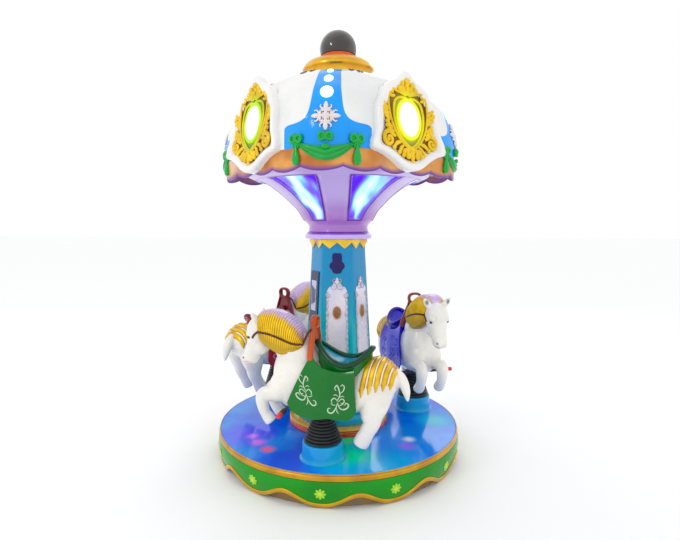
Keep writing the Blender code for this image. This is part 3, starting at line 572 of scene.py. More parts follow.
def makeDeck():
    rimInner = rimRadius - base["rimWidth"]
    deckLine = [(0.0015, deckTop), (rimInner * 0.5, deckTop), (rimInner - 0.004, deckTop),
                (rimInner - 0.0005, deckTop - 0.003), (rimInner - 0.0005, deckTop - 0.0175),
                (0.1, deckTop - 0.0175)]
    # deep blue with the hues that the lamps above lay over it
    finish = Finish("deckGloss", Coat_Weight=0.35, Coat_Roughness=0.04, Specular_IOR_Level=0.25)
    paint = finish.mixed(finish.cloud(3.2, 0.40, 0.62), colour(0, 96, 238), colour(0, 140, 240))
    ripple = finish.noise(7.0, 3.0)
    # painted light: each pool lays a lamp's hue over the blue
    for x, y, reach, hue in base["lightPools"]:
        paint = finish.mixed((finish.pool(x, y, reach) * (0.6 + ripple * 0.8)).clamped(), paint, colour(*hue))
    finish.set(Base_Color=paint,
               Roughness=0.12 + finish.cloud(30.0, 0.5, 0.8, 4.0) * 0.14,
               Normal=finish.bump(finish.noise(9.0), 0.2, 0.0006))
    piece("deck_top", turned(deckLine, 240), finish.material, "turntable", ("deck",))
    low = base["rimBottom"]
    rimLine = [(rimInner, deckTop - 0.004), (rimInner + 0.0006, deckTop - 0.0014),
               (rimInner + 0.002, deckTop - 0.0010), (rimRadius - 0.004, deckTop - 0.0020),
               (rimRadius - 0.0036, deckTop - 0.0075), (rimRadius - 0.0012, deckTop - 0.0105),
               (rimRadius, deckTop - 0.0155), (rimRadius - 0.0005, low + 0.005),
               (rimRadius - 0.002, low + 0.001), (rimInner, low + 0.0006)]
    line = smoothLine(rimLine, 28, closed=True)
    rim = surface(ringGrid(around(240), line[:, :1], line[:, 1:]), wrapRows=True)
    piece("rim_moulding", rim, goldPaint("rimGold", colour(226, 172, 40), colour(150, 92, 20)), "turntable",
          ("rim_band",))


def makeDrum():
    corner = nodeBox("base_drum")[1]
    top, radius = corner.z, corner.x
    line = [(0.0015, top), (0.086, top), (0.090, top - 0.001), (0.090, 0.100), (radius - 0.01, 0.100),
            (radius - 0.003, 0.097), (radius, 0.090), (radius, 0.003 - datum), (radius - 0.003, -datum),
            (0.0015, -datum)]
    finish = Finish("drumPaint")
    dust = finish.cloud(16.0, 0.4, 0.7, 5.0)
    finish.set(Base_Color=finish.mixed(dust, colour(150, 118, 66), colour(120, 112, 104)),
               Roughness=0.55 + dust * 0.2, Normal=finish.bump(finish.noise(60.0), 0.3, 0.0005))
    piece("drum_wall", turned(line, 192), finish.material, "base", ("base_drum",))


makeSkirt()
makeFlowers()
makeDeck()
makeDrum()
print("base and deck are made")


# Column and what stands round it

column = {
    "turn": 4.0,           # degrees that the facets stand off the front
    "top": nodeBox("column")[1].z,
    "bottom": nodeBox("column")[0].z,
    "rings": ((0.209, 0.0), (0.189, 0.515), (0.154, 1.100), (0.154, 1.163)),
    "softening": 0.02,     # of the edges, as a share of the radius
    "panels": 5, "panelTop": 0.962, "panelBottom": 0.262, "panelShare": 0.66,    # of the facet's width
    "medallion": 0.770,    # height of its middle
    "badgeTop": 1.092, "badgeBottom": 0.975,
    "toothHeight": 0.050,
    "plate": (0.098, 0.286, 0.004),    # width, height, rounding of the corners
    # half of the plaque's outline about its middle
    "badge": ((0.0, 0.056), (0.020, 0.054), (0.026, 0.040), (0.026, 0.012), (0.036, 0.002), (0.041, -0.014),
              (0.034, -0.028), (0.026, -0.036), (0.022, -0.048), (0.0, -0.054)),
}


def columnRadius(height):
    # the corners, straight between the measured rings
    radii, heights = zip(*column["rings"])
    return np.interp(height, heights, radii)


def hexRadius(angle, corner, soften):
    # a six-sided outline whose corners are softened by a high power mean with a circle
    span = math.pi / 3
    off = (angle - math.radians(column["turn"]) + span / 2) % span - span / 2
    flat = corner * math.cos(math.pi / 6) / np.cos(off)
    rounded = corner * (1 - soften)
    return (flat ** -40.0 + rounded ** -40.0) ** (-1 / 40.0)


def makeColumn():
    heights = np.concatenate([[column["bottom"]],
                              np.linspace(column["bottom"] + 0.004, column["top"] - 0.002, 60),
                              [column["top"]]])
    angle = around(240)
    radius = hexRadius(angle, columnRadius(heights)[:, None], column["softening"])
    finish = Finish("columnTeal", Coat_Weight=0.25, Coat_Roughness=0.04, Specular_IOR_Level=0.25)
    rise = finish.step(finish.axis("Z"), 0.45, 1.15)
    cloud = finish.cloud(6.0, 0.35, 0.7) * 0.25
    finish.set(Base_Color=finish.mixed((rise + cloud).clamped(), colour(0, 194, 196), colour(0, 142, 196)),
               Roughness=0.14 + finish.cloud(40.0, 0.5, 0.8, 4.0) * 0.12,
               Normal=finish.bump(finish.noise(12.0), 0.2, 0.0006))
    piece("column_shell", surface(ringGrid(angle, radius, heights[:, None])), finish.material, "turntable",
          ("column",), 60.0)


def facetPlace(side):
    # a facet's own directions: across, square to its lean, and level outward
    across, radial = compass(math.radians(column["turn"] + 60.0 * side))
    low, high = 0.3, 1.0
    run = (columnRadius(low) - columnRadius(high)) * math.cos(math.pi / 6)
    lean = math.atan2(run, high - low)
    up = np.array([0, 0, 1.0]) * math.cos(lean) - radial * math.sin(lean)
    return across, np.cross(across, up), radial


def onFacet(shape, side, proud=0.0):
    # a flat shape drawn in (across, height, out) is bent onto the facet at its own heights
    across, out, radial = facetPlace(side)
    p = shape["points"]
    reach = columnRadius(p[:, 1]) * math.cos(math.pi / 6)
    laid = (p[:, :1] * across + reach[:, None] * radial + p[:, 1:2] * np.array([0, 0, 1.0])
            + (p[:, 2:] + proud) * out)
    return outward({**shape, "points": laid})


def panelOutline(half, low, high, arch=0.10):
    # straight sides and a pointed ogee top with shoulders
    t = np.linspace(0, 1, 24)
    shoulder = high - arch
    right = np.stack([np.full(14, half), np.linspace(low, shoulder, 14)], -1)
    ogee = np.stack([half * (1 - t ** 1.1) * (1 + 0.35 * np.sin(math.pi * t) * (t < 0.5)),
                     shoulder + arch * (0.62 * np.sin(t * math.pi / 2) + 0.38 * t ** 3)], -1)
    return bothSides(np.vstack([right, ogee[1:]]))


def filigree(half, low, high, waves, seed):
    # two vines that cross as sine waves along the panel's edge, with a small scroll at each crossing
    t = np.linspace(0, 1, 46 * waves // 4)
    shapes = []
    for phase in (0.0, math.pi):
        x = half + 0.0062 * np.sin(2 * math.pi * waves * t + phase + seed)
        shapes.append(tube(spots(x, low + (high - low) * t, 0.0015), 0.0013, 5))
    for k in range(waves):
        y = low + (high - low) * (k + 0.5) / waves
        curl = spiral((half + 0.004 * (-1) ** k, y), 0.0085, 1.1, 90.0 * (-1) ** k, (-1) ** k, count=12)
        shapes.append(tube(raised(curl, 0.0018), np.linspace(0.0019, 0.0008, len(curl)), 5))
    return shapes


def makePanels():
    paper = Finish("panelWhite", Coat_Weight=0.5, Coat_Roughness=0.05)
    paper.set(Base_Color=paper.mixed(paper.cloud(7.0, 0.4, 0.7), colour(238, 232, 244),
                                     colour(214, 214, 238)),
              Roughness=0.22 + paper.noise(50.0) * 0.1)
    plates, vines, medals = [], [], []
    low, high = column["panelBottom"], column["panelTop"]
    taperLow, taperHigh = (columnRadius(height) * 0.5 * column["panelShare"] for height in (low, high))
    for side in range(column["panels"]):
        outline = panelOutline(1.0, low, high)
        share = (outline[:, 1] - low) / (high - low)
        outline[:, 0] *= taperLow + (taperHigh - taperLow) * share
        plates.append(onFacet(plate(outline, 0.0024, rings=8, edge=0.5), side, 0.0014))
        for hand in (1, -1):
            for shape in filigree(1.0, low + 0.01, high - 0.105, 9, 0.4):
                p = shape["points"].copy()
                share = (p[:, 1] - low) / (high - low)
                edge = taperLow + (taperHigh - taperLow) * share - 0.004
                p[:, 0] = hand * (edge + (p[:, 0] - 1.0))
                vines.append(onFacet({**shape, "points": p}, side, 0.0016))
            for curl in (spiral((hand * 0.020, high - 0.052), 0.022, 1.3, 90, hand, count=24),
                         spiral((hand * 0.046, high - 0.098), 0.016, 1.4, 90, -hand, count=24),
                         spiral((hand * 0.012, high - 0.018), 0.013, 1.1, -90, hand, count=18)):
                vine = tube(raised(curl, 0.0022), np.linspace(0.0030, 0.0010, len(curl)), 6)
                vines.append(onFacet(vine, side, 0.0016))
        medals.append(onFacet(medallion(column["medallion"]), side, 0.0026))
    grey = Finish("filigreeGrey", Coat_Weight=0.3)
    grey.set(Base_Color=grey.mixed(grey.noise(30.0), colour(150, 142, 158), colour(206, 200, 214)),
             Roughness=0.35)
    bronze = Finish("medallionBronze", Coat_Weight=0.5)
    bronze.set(Base_Color=bronze.mixed(bronze.painted("ring"), colour(120, 58, 28), colour(206, 158, 92)),
               Roughness=0.30 + bronze.noise(60.0) * 0.1)
    piece("column_panels", plates, paper.material, "turntable", ())
    piece("panel_filigree", vines, grey.material, "turntable", ())
    piece("panel_medallions", medals, bronze.material, "turntable", ())


def medallion(height):
    # an upright oval dome with a rosette of radial ribs and a raised rim
    angle = around(72)
    share = np.array([1.0, 1.0, 0.94, 0.88, 0.80, 0.6, 0.4, 0.2, 0.05])[:, None]
    lift = np.array([0.0, 0.003, 0.005, 0.0035, 0.003, 0.0045, 0.0055, 0.006, 0.0062])[:, None]
    rib = 0.0010 * np.cos(12 * angle) * np.sin(math.pi * np.clip(share / 0.85, 0, 1))
    grid = spots(0.0235 * share * np.cos(angle), height + 0.036 * share * np.sin(angle), lift + rib)
    return surface(grid, ring=(share > 0.84) * 1.0 + 0.6 * (np.cos(12 * angle) > 0.2) * (share < 0.84))


def makeCrown():
    # a gold band with two pointed teeth on each facet, standing off the facets
    low, high = column["top"] - 0.016, column["top"] - 0.001
    teeth = []
    for side in range(6):
        half = columnRadius(high) * 0.5 * 1.05
        x = np.linspace(-half, half, 49)
        tooth = np.abs((x / half + 1) % 1.0 - 0.5) * 2
        bottom = low - (column["toothHeight"] - 0.016) * (1 - tooth)
        section = ((high, 0.0010), (high, 0.0062), (bottom + 0.001, 0.0062), (bottom, 0.0050),
                   (bottom, 0.0010))
        rows = [spots(x, height, out) for height, out in section]
        teeth.append(onFacet(surface(np.array(rows).transpose(1, 0, 2)), side))
    finish = Finish("crownGold", Coat_Weight=0.5, Metallic=0.15)
    warm = finish.cloud(7.0, 0.4, 0.65)
    finish.set(Base_Color=finish.mixed(warm, colour(255, 214, 20), colour(222, 158, 26)),
               Roughness=0.25 + finish.noise(80.0) * 0.1)
    piece("crown_teeth", teeth, finish.material, "turntable", ("column_crown",), 30.0)


def makeCollar():
    bottom, top = nodeBox("collar")
    low, high, radius = bottom.z, top.z, top.x
    line = [(0.002, high - 0.0005), (radius - 0.022, high - 0.0005), (radius - 0.012, high - 0.003),
            (radius - 0.008, high - 0.010), (radius - 0.006, high - 0.013), (radius - 0.001, high - 0.0145),
            (radius, high - 0.018), (radius, low + 0.007), (radius - 0.002, low + 0.003),
            (radius - 0.012, low + 0.001), (0.002, low + 0.0005)]
    finish = Finish("collarLilac", Coat_Weight=0.6)
    upper = finish.step(finish.axis("Z"), high - 0.0142, high - 0.0125)
    finish.set(Base_Color=finish.mixed(upper, colour(204, 180, 246), colour(146, 62, 206)),
               Roughness=0.2 + finish.noise(40.0) * 0.1)
    piece("collar_ring", turned(line, 192), finish.material, "turntable", ("collar",))


def makePlinth():
    # red, with a gold top edge and a gold line in its groove
    bottom, top = nodeBox("plinth")
    r, z0, z1 = top.x, bottom.z, top.z
    line = [(0.002, z1), (r - 0.03, z1), (r - 0.006, z1 - 0.0005), (r - 0.001, z1 - 0.004), (r, z1 - 0.007),
            (r - 0.004, z1 - 0.010), (r - 0.004, z1 - 0.015), (r - 0.001, z1 - 0.0175),
            (r - 0.004, z1 - 0.020), (r - 0.004, z1 - 0.026), (r, z0 + 0.010), (r, z0 + 0.003),
            (r - 0.002, z0), (0.002, z0)]
    finish = Finish("plinthRed", Coat_Weight=0.6)
    edge = finish.step((finish.axis("Z") - (z1 - 0.004)).absolute(), 0.005, 0.004)
    groove = finish.step((finish.axis("Z") - (z1 - 0.0175)).absolute(), 0.0022, 0.0014)
    finish.set(Base_Color=finish.mixed((edge + groove).clamped(), colour(214, 44, 22), colour(214, 164, 40)),
               Roughness=0.22 + finish.noise(40.0) * 0.1)
    piece("plinth_round", turned(line, 160), finish.material, "turntable", ("plinth",))


def makeFoot():
    # a disc whose upper edge is a quarter circle
    bottom, top = nodeBox("column_foot")
    r, z0, z1 = top.x, bottom.z, top.z
    rounding = 0.022
    quarter = [(r - rounding + rounding * math.sin(a), z1 - rounding + rounding * math.cos(a))
               for a in np.linspace(0, math.pi / 2, 10)]
    line = [(0.002, z1), (r - 0.05, z1)] + quarter + [(r, z0 + 0.002), (r - 0.002, z0), (0.002, z0)]
    piece("column_foot_round", turned(line, 160),
          gelCoat("footTeal", colour(0, 150, 210), colour(0, 190, 170)),
          "turntable", ("column_foot",))


def makeControlPlate():
    corner = nodeBox("control_plate")
    middle = 0.5 * (corner[0].z + corner[1].z)
    width, height, rounding = column["plate"]
    outline = []
    for cx, cy, start in ((1, 1, 0), (-1, 1, 90), (-1, -1, 180), (1, -1, 270)):
        for step in range(7):
            a = math.radians(start + 15 * step)
            outline.append((cx * (width / 2 - rounding) + rounding * math.cos(a),
                            cy * (height / 2 - rounding) + rounding * math.sin(a)))
    outline = np.array(outline)
    board = plate(outline + [0, middle], 0.005, rings=6)
    navy = gelCoat("plateNavy", colour(22, 18, 84), colour(14, 10, 54), 0.25, 0.4)
    piece("coin_plate", onFacet(board, 5, 0.0032), navy, "turntable", ("control_plate",))
    inset = outline * [0.62, 0.58] + [0, middle + 0.008]
    pale = plate(inset, 0.0022, rings=6)
    slots = [plate(outline * [0.10, 0.36 - 0.05 * k] + [-0.018 + 0.018 * k, middle + 0.008], 0.0016, rings=4)
             for k in range(3)]
    light = Finish("plateInset", Coat_Weight=0.4)
    light.set(Base_Color=light.mixed(light.noise(20.0), colour(206, 204, 232), colour(176, 178, 222)),
              Roughness=0.3)
    piece("coin_plate_inset", onFacet(pale, 5, 0.0068), light.material, "turntable", ())
    piece("coin_plate_slots", [onFacet(shape, 5, 0.0086) for shape in slots], navy, "turntable", ())


def makeBadge():
    # a plain dark plaque above the front panel, with notched corners
    middle = (column["badgeTop"] + column["badgeBottom"]) / 2
    outline = smoothLine(bothSides(column["badge"]), 96, True) + [0, middle]
    piece("column_badge", onFacet(plate(outline, 0.003, rings=6), 0, 0.0018),
          gelCoat("badgeNavy", colour(26, 22, 108), colour(16, 12, 70)), "turntable", ())


makeColumn()
makePanels()
makeCrown()
makeCollar()
makePlinth()
makeFoot()
makeControlPlate()
makeBadge()
print("column is made")


# Flare with its lit windows

flare = {
    "turn": 4.0,
    "profile": ((0.167, 1.2035), (0.164, 1.236), (0.194, 1.270), (0.222, 1.316), (0.252, 1.347),
                (0.308, 1.399), (0.373, 1.446), (0.421, 1.471), (0.462, 1.483), (0.497, 1.500),
                (0.500, 1.5195)),
    "windowLow": 1.262, "windowHigh": 1.480,
    "windowHalf": 20.0,    # degrees at the top of a window
    "windowHalfLow": 13.5,
    "recess": 0.007, "railHeight": 0.003, "ribHeight": 0.004,
    "frameWidth": 0.012,
    "glow": 0.55,
}


def makeFlare():
    # the trumpet's profile carried round; windows are sunk by the distance inside their outline
    line = smoothLine(flare["profile"], 104)[::-1]
    angle = around(600)
    radius, height = line[:, :1], line[:, 1:]
    span = math.pi / 3
    off = (angle - math.radians(flare["turn"])) % span - span / 2
    rise = np.clip((height - flare["windowLow"]) / (flare["windowHigh"] - flare["windowLow"]), 0, 1)
    half = np.radians(flare["windowHalfLow"] + (flare["windowHalf"] - flare["windowHalfLow"]) * rise)
    sideways = (half - np.abs(off)) * radius
    run = np.concatenate([[0], np.cumsum(np.linalg.norm(np.diff(line, axis=0), axis=1))])[:, None]
    high = run - np.interp(flare["windowHigh"], height[::-1, 0], run[::-1, 0])
    low = np.interp(flare["windowLow"], height[::-1, 0], run[::-1, 0]) - run
    inside = np.minimum(sideways, np.minimum(high, low))
    glass = smoothStep(flare["frameWidth"] - 0.001, flare["frameWidth"] + 0.002, inside)
    rail = smoothStep(-0.002, 0.002, inside) * (1 - glass)
    ahead = np.gradient(line, axis=0)
    ahead = ahead / np.linalg.norm(ahead, axis=1, keepdims=True)
    rib = (1 - smoothStep(-0.02, 0.0, inside)) * (rise > 0) * (rise < 1)
    push = flare["railHeight"] * rail - flare["recess"] * glass + flare["ribHeight"] * rib
    r = radius - push * ahead[:, 1:]
    z = height + push * ahead[:, :1]
    grid = ringGrid(angle, np.maximum(r, 0.15), z)
    top, bottom = grid[:1] * [0.5, 0.5, 1], grid[-1:] * [0.5, 0.5, 1]
    grid = np.concatenate([top, grid, bottom])

    def padded(value):
        value = np.broadcast_to(value, glass.shape)
        return np.concatenate([value[:1] * 0, value, value[:1] * 0])

    shape = surface(grid, glass=padded(glass), rail=padded(rail), climb=padded(rise),
                    across=padded(off / span + 0.5))
    finish = Finish("flarePaint", Coat_Weight=0.5, Emission_Strength=flare["glow"])
    glassMask, railMask = finish.painted("glass"), finish.painted("rail")
    climb, across = finish.painted("climb"), finish.painted("across")
    # milky light: white and cyan in the middle of each window, violet toward its edges
    spot = finish.node("ShaderNodeCombineXYZ", None, across * 2.6, climb * 1.3, finish.axis("X") * 2.0)
    drift = finish.node("ShaderNodeTexNoise", None, Vector=spot, Scale=1.5, Detail=1.0)
    edgeWay = ((across - 0.5).absolute() * 2.9 + (climb - 0.45).absolute() * 0.45 + (drift - 0.5) * 1.5)
    tint = finish.ramp(edgeWay, ((0.06, colour(226, 252, 255)), (0.26, colour(176, 240, 255)),
                                 (0.44, colour(120, 190, 255)),
                                 (0.60, colour(118, 92, 252)), (0.80, colour(92, 28, 226))))
    ribTint = finish.mixed(finish.step(finish.axis("Z"), 1.26, 1.40), colour(176, 120, 206),
                           colour(206, 182, 244))
    paint = finish.mixed(railMask, ribTint, colour(104, 34, 168))
    finish.set(Base_Color=finish.mixed(glassMask, paint, tint), Roughness=0.28 - glassMask * 0.14,
               Emission_Color=finish.mixed(glassMask, (0.0, 0.0, 0.0), tint))
    piece("flare_shell", shape, finish.material, "turntable", ("flare", "light_core"), 50.0)


makeFlare()
print("flare is made")


# Canopy

canopy = {
    "turn": 1.0,
    "corner": ((0.192, 2.014), (0.340, 1.984), (0.436, 1.944), (0.509, 1.889), (0.560, 1.845), (0.590, 1.800),
               (0.632, 1.705), (0.641, 1.640), (0.634, 1.578)),
    "side": ((0.192, 2.014), (0.300, 1.985), (0.380, 1.952), (0.440, 1.915), (0.482, 1.860), (0.500, 1.795),
             (0.518, 1.700), (0.528, 1.630), (0.534, 1.578)),
    "sharpness": 14.0,
    "panelTurns": (2.0, -3.0, 2.0, 2.0),    # front, right, back, left
    # half of the blue panel's outline: distance from its middle line, height
    "blueEdge": ((0.046, 2.10), (0.0495, 1.99), (0.0525, 1.935), (0.0570, 1.889), (0.0610, 1.845),
                 (0.0666, 1.800), (0.0730, 1.757), (0.0800, 1.730), (0.0900, 1.712), (0.1030, 1.699),
                 (0.1200, 1.691), (0.1420, 1.686), (0.1700, 1.683), (0.1880, 1.679), (0.1975, 1.669),
                 (0.2000, 1.655), (0.2000, 1.50)),
    "valanceLow": 1.476, "valanceHigh": 1.496, "valanceScallops": 20,
    "ceiling": 1.520, "thickness": 0.0106,
    "sunk": 0.003, "step": 0.004,    # the blue below the profile, and the white above the blue
}


def canopyPoint(angle, row):
    # the corner and side profiles, eased into each other by angle; lower rows turn to a rounded square
    corner = smoothAt(canopy["corner"], row)
    side = smoothAt(canopy["side"], row)
    span = math.pi / 2
    off = (angle - math.radians(canopy["turn"])) % span - span / 2
    share = np.minimum(1.0, np.abs(off) / (span / 2) * 1.25)
    ease = 0.5 + 0.5 * np.cos(math.pi * share)
    squareness = np.clip(row / 4.0, 0, 1)
    power = canopy["sharpness"]
    square = ((side[..., 0] / np.cos(off)) ** -power + corner[..., 0] ** -power) ** (-1 / power)
    plain = corner[..., 0] + (side[..., 0] - corner[..., 0]) * ease
    radius = plain + (square - plain) * squareness
    height = corner[..., 1] + (side[..., 1] - corner[..., 1]) * ease
    return radius, height


def smoothAt(points, row):
    # the Catmull-Rom curve of smoothLine, read at any rows
    p = np.asarray(points, float)
    row = np.asarray(row, float)
    k = np.minimum(row.astype(int), len(p) - 2)
    t = (row - k)[..., None]
    before, here, there, after = p[np.maximum(k - 1, 0)], p[k], p[k + 1], p[np.minimum(k + 2, len(p) - 1)]
    return 0.5 * (2 * here + (there - before) * t + (2 * before - 5 * here + 4 * there - after) * t ** 2
                  + (3 * here - before - 3 * there + after) * t ** 3)


def cornerRow(height):
    # the row at which the corner profile passes a height
    rows = np.linspace(0, 8, 400)
    heights = smoothAt(canopy["corner"], rows)[:, 1]
    return np.interp(-np.asarray(height, float), -heights, rows)


def onCorner(shape, lift=0.0, side=0):
    # a flat shape drawn in (across, height, out) is laid onto the blue panel of a corner
    p = shape["points"]
    row = cornerRow(p[:, 1])
    turn = math.radians(canopy["panelTurns"][side])
    angle = turn + p[:, 0] / canopyPoint(turn, row)[0]
    radius, height = canopyPoint(angle, row)
    above = canopyPoint(angle, row - 0.05)
    slope = np.arctan2(radius - above[0], above[1] - height)
    push = p[:, 2] + lift
    r = radius + push * np.cos(slope)
    z = height + push * np.sin(slope) + np.minimum(p[:, 1] - canopy["corner"][-1][1], 0)
    return turnedRound(outward({**shape, "points": ringGrid(angle, r, z)}), 90.0 * side)


def insideOutline(x, y, line):
    # the distance to the nearest stretch of the outline, positive inside it
    nearest = np.full(x.shape, 9.0)
    for (ax, ay), (bx, by) in zip(line[:-1], line[1:]):
        runX, runY = bx - ax, by - ay
        t = np.clip(((x - ax) * runX + (y - ay) * runY) / (runX ** 2 + runY ** 2), 0, 1)
        nearest = np.minimum(nearest, np.hypot(x - ax - t * runX, y - ay - t * runY))
    return nearest * np.sign(np.interp(-y, -line[:, 1], line[:, 0]) - x)


def makeCanopy():
    rows = np.linspace(0, 8, 126)[:, None]
    angle = around(440)
    radius, height = canopyPoint(angle, rows)
    span = math.pi / 2
    turns = np.radians(canopy["panelTurns"])[np.floor(angle / span + 0.5).astype(int) % 4]
    off = (angle - turns + span / 2) % span - span / 2
    inside = insideOutline(np.abs(off) * radius, height, smoothLine(canopy["blueEdge"], 90))
    radius = radius - canopy["sunk"] + canopy["step"] * smoothStep(0.008, -0.008, inside)
    grid = ringGrid(angle, radius, height)
    top = grid[:1] * [0.3, 0.3, 1]
    inner, ceiling = (ringGrid(angle, radius[-1:] - canopy["thickness"], z)
                      for z in (height[-1:] - 0.001, canopy["ceiling"]))
    grid = np.concatenate([top, grid, inner, ceiling])
    paintRow = np.concatenate([inside[:1], inside, np.full((2, len(angle)), -1.0)])
    finish = Finish("canopyPaint", Coat_Weight=0.25, Coat_Roughness=0.04, Specular_IOR_Level=0.25)
    mask = finish.step(finish.painted("inside"), -0.0012, 0.0012)
    cloud = finish.cloud(5.0, 0.35, 0.7, 4.0)
    white = finish.mixed(cloud * 0.6, colour(240, 240, 238), colour(218, 224, 226))
    blues = finish.mixed(cloud * 0.5, colour(0, 160, 250), colour(0, 138, 240))
    finish.set(Base_Color=finish.mixed(mask, white, blues), Roughness=0.16 + finish.noise(40.0) * 0.08,
               Normal=finish.bump(finish.noise(8.0, 2.0), 0.2, 0.001))
    piece("canopy_dome", surface(grid, inside=paintRow), finish.material, "turntable", ("canopy",),
          50.0)


def makeValance():
    angle = around(600)
    radius = canopyPoint(angle, np.full_like(angle, 8.0))[0] - 0.001
    wave = np.abs(np.cos(canopy["valanceScallops"] / 2 * angle)) ** 0.8
    low = canopy["valanceHigh"] - (canopy["valanceHigh"] - canopy["valanceLow"]) * wave
    top = canopy["corner"][-1][1] - 0.0006
    section = ((1.0, 0.0), (0.75, -0.0006), (0.5, 0.0), (0.25, 0.0012), (0.06, 0.002), (0.0, 0.0035),
               (0.0, 0.0075),
               (0.2, 0.0096), (0.6, 0.0096), (1.0, 0.0096))    # share of the height, distance inward
    rows = [ringGrid(angle, radius - inset, low + (top - low) * share) for share, inset in section]
    # amber with mauve and cream where the coloured lamps fall, and a violet line along the scallops
    finish = Finish("valanceGold", Coat_Weight=0.3, Coat_Roughness=0.08, Metallic=0.2)
    amber = finish.mixed(finish.cloud(6.0, 0.35, 0.65, 2.0), colour(228, 158, 66), colour(188, 104, 24))
    mauve = finish.mixed(finish.cloud(2.4, 0.52, 0.68, 1.0) * 0.75, amber, colour(168, 118, 150))
    cream = finish.mixed(finish.cloud(3.4, 0.60, 0.74, 1.0) * 0.6, mauve, colour(250, 214, 160))
    finish.set(Base_Color=finish.mixed(finish.painted("brim"), cream, colour(112, 54, 150)),
               Roughness=0.26 + finish.noise(80.0) * 0.10)
    brim = np.array([0, 0, 0, 0, 1, 1, 1, 0.6, 0, 0])[:, None]
    piece("valance_ring", surface(np.array(rows), wrapRows=True, brim=brim), finish.material, "turntable",
          ("valance",))


makeCanopy()
makeValance()
print("canopy is made")


# Boards with their gold frames and oval lamps. Each is drawn flat: X across, Y up the board, Z outward.

boards = {
    "turn": 0.6,
    "top": (0.494, 1.958), "bottom": (0.556, 1.493),    # radius and height of the leaning plane
    "outline": ((0.000, 0.235), (0.060, 0.192), (0.128, 0.158), (0.160, 0.105), (0.194, 0.055),
                (0.204, -0.005), (0.214, -0.060), (0.236, -0.108), (0.234, -0.146), (0.182, -0.162),
                (0.120, -0.190), (0.060, -0.224), (0.000, -0.236)),
    "middle": -0.004, "rim": 0.019, "back": -0.030,
    "bed": ((0.000, 0.180), (0.040, 0.168), (0.060, 0.140), (0.108, 0.142), (0.130, 0.110), (0.134, 0.064),
            (0.154, 0.056), (0.150, 0.020), (0.126, -0.010), (0.136, -0.040), (0.130, -0.064),
            (0.166, -0.074), (0.178, -0.104), (0.160, -0.126), (0.110, -0.122), (0.070, -0.168),
            (0.000, -0.196)),
    "lamp": (0.066, 0.083, 0.006),       # half width, half height, height of its centre
    "frameLift": 0.0035, "ringLift": 0.0025, "lampLift": 0.0030,
    "glow": ((206, 236, 0), (96, 214, 0)), "brightness": 1.25,
}


def boardPlace(shape, side, proud=0.0):
    # from the drawing onto the leaning plane of a board
    across, radial = compass(math.radians(boards["turn"] + 45.0 + 90.0 * side))
    (topR, topZ), (lowR, lowZ) = boards["top"], boards["bottom"]
    top, low = radial * topR + [0, 0, topZ], radial * lowR + [0, 0, lowZ]
    up = (top - low) / np.linalg.norm(top - low)
    out = np.cross(across, up)
    return moved(shape, np.stack([across, up, out], 1), (top + low) / 2 + out * proud)


def boardShape():
    # rings shrink from the wavy outline to its sunk middle; the border is a broad, rounded roll
    outline = smoothLine(bothSides(boards["outline"]), 260, True)
    middle = np.array([0.0, -0.03])
    low, rim, back = boards["middle"], boards["rim"], boards["back"]
    rise = rim - low
    rows = [(0.001, low), (0.3, low), (0.6, low), (0.70, low + rise * 0.04), (0.76, low + rise * 0.20),
            (0.82, low + rise * 0.55), (0.87, low + rise * 0.82), (0.91, low + rise * 0.96), (0.945, rim),
            (0.97, rim - 0.002), (0.988, rim - 0.007), (1.0, rim - 0.014), (1.0, rim - 0.026), (0.995, back),
            (0.5, back)]
    return surface(np.array([raised(middle + (outline - middle) * s, z) for s, z in rows]))


def leaf(points, wide, tall, count=22):
    # a domed leaf along a curve: its half width swells and closes again
    line = smoothLine(points, count)
    t = np.linspace(0, 1, count)
    swell = np.sin(math.pi * t ** 0.8) ** 0.7 * (1 - 0.15 * t) + 0.04
    return tube(raised(line, tall * 0.35 * np.sin(math.pi * t)),
                np.column_stack([wide * swell, tall * (0.35 + 0.65 * swell)]), 10)


def scroll(centre, size, turns, start, hand, thick, count=40):
    # a roll that rises and thins along a spiral, with a ball for its eye
    line = spiral(centre, size, turns, start, hand, 0.20, count)
    t = np.linspace(0, 1, count)
    radius = thick * (1 - 0.5 * t)
    eye = ellipsoid(*line[-1], 0.002, thick * 0.9, thick * 0.9, thick * 1.2, 10, 14)
    return [tube(raised(line, 0.001 + 0.004 * t), np.column_stack([radius, radius * 1.3]), 10), eye]


def hook(points, wide, tall, ball=1.0, count=26):
    # a thick leaf that stays wide and ends in a rolled tip
    line = smoothLine(points, count)
    t = np.linspace(0, 1, count)
    swell = 0.55 + 0.45 * np.sin(math.pi * np.clip(t * 1.1, 0, 1)) ** 0.8
    path = raised(line, tall * (0.25 + 0.75 * t ** 2))
    tip = ellipsoid(*line[-1], tall * 0.9, wide * ball, wide * ball, tall * 0.9, 10, 16)
    return [tube(path, np.column_stack([wide * swell, tall * (0.4 + 0.4 * swell)]), 10), tip]


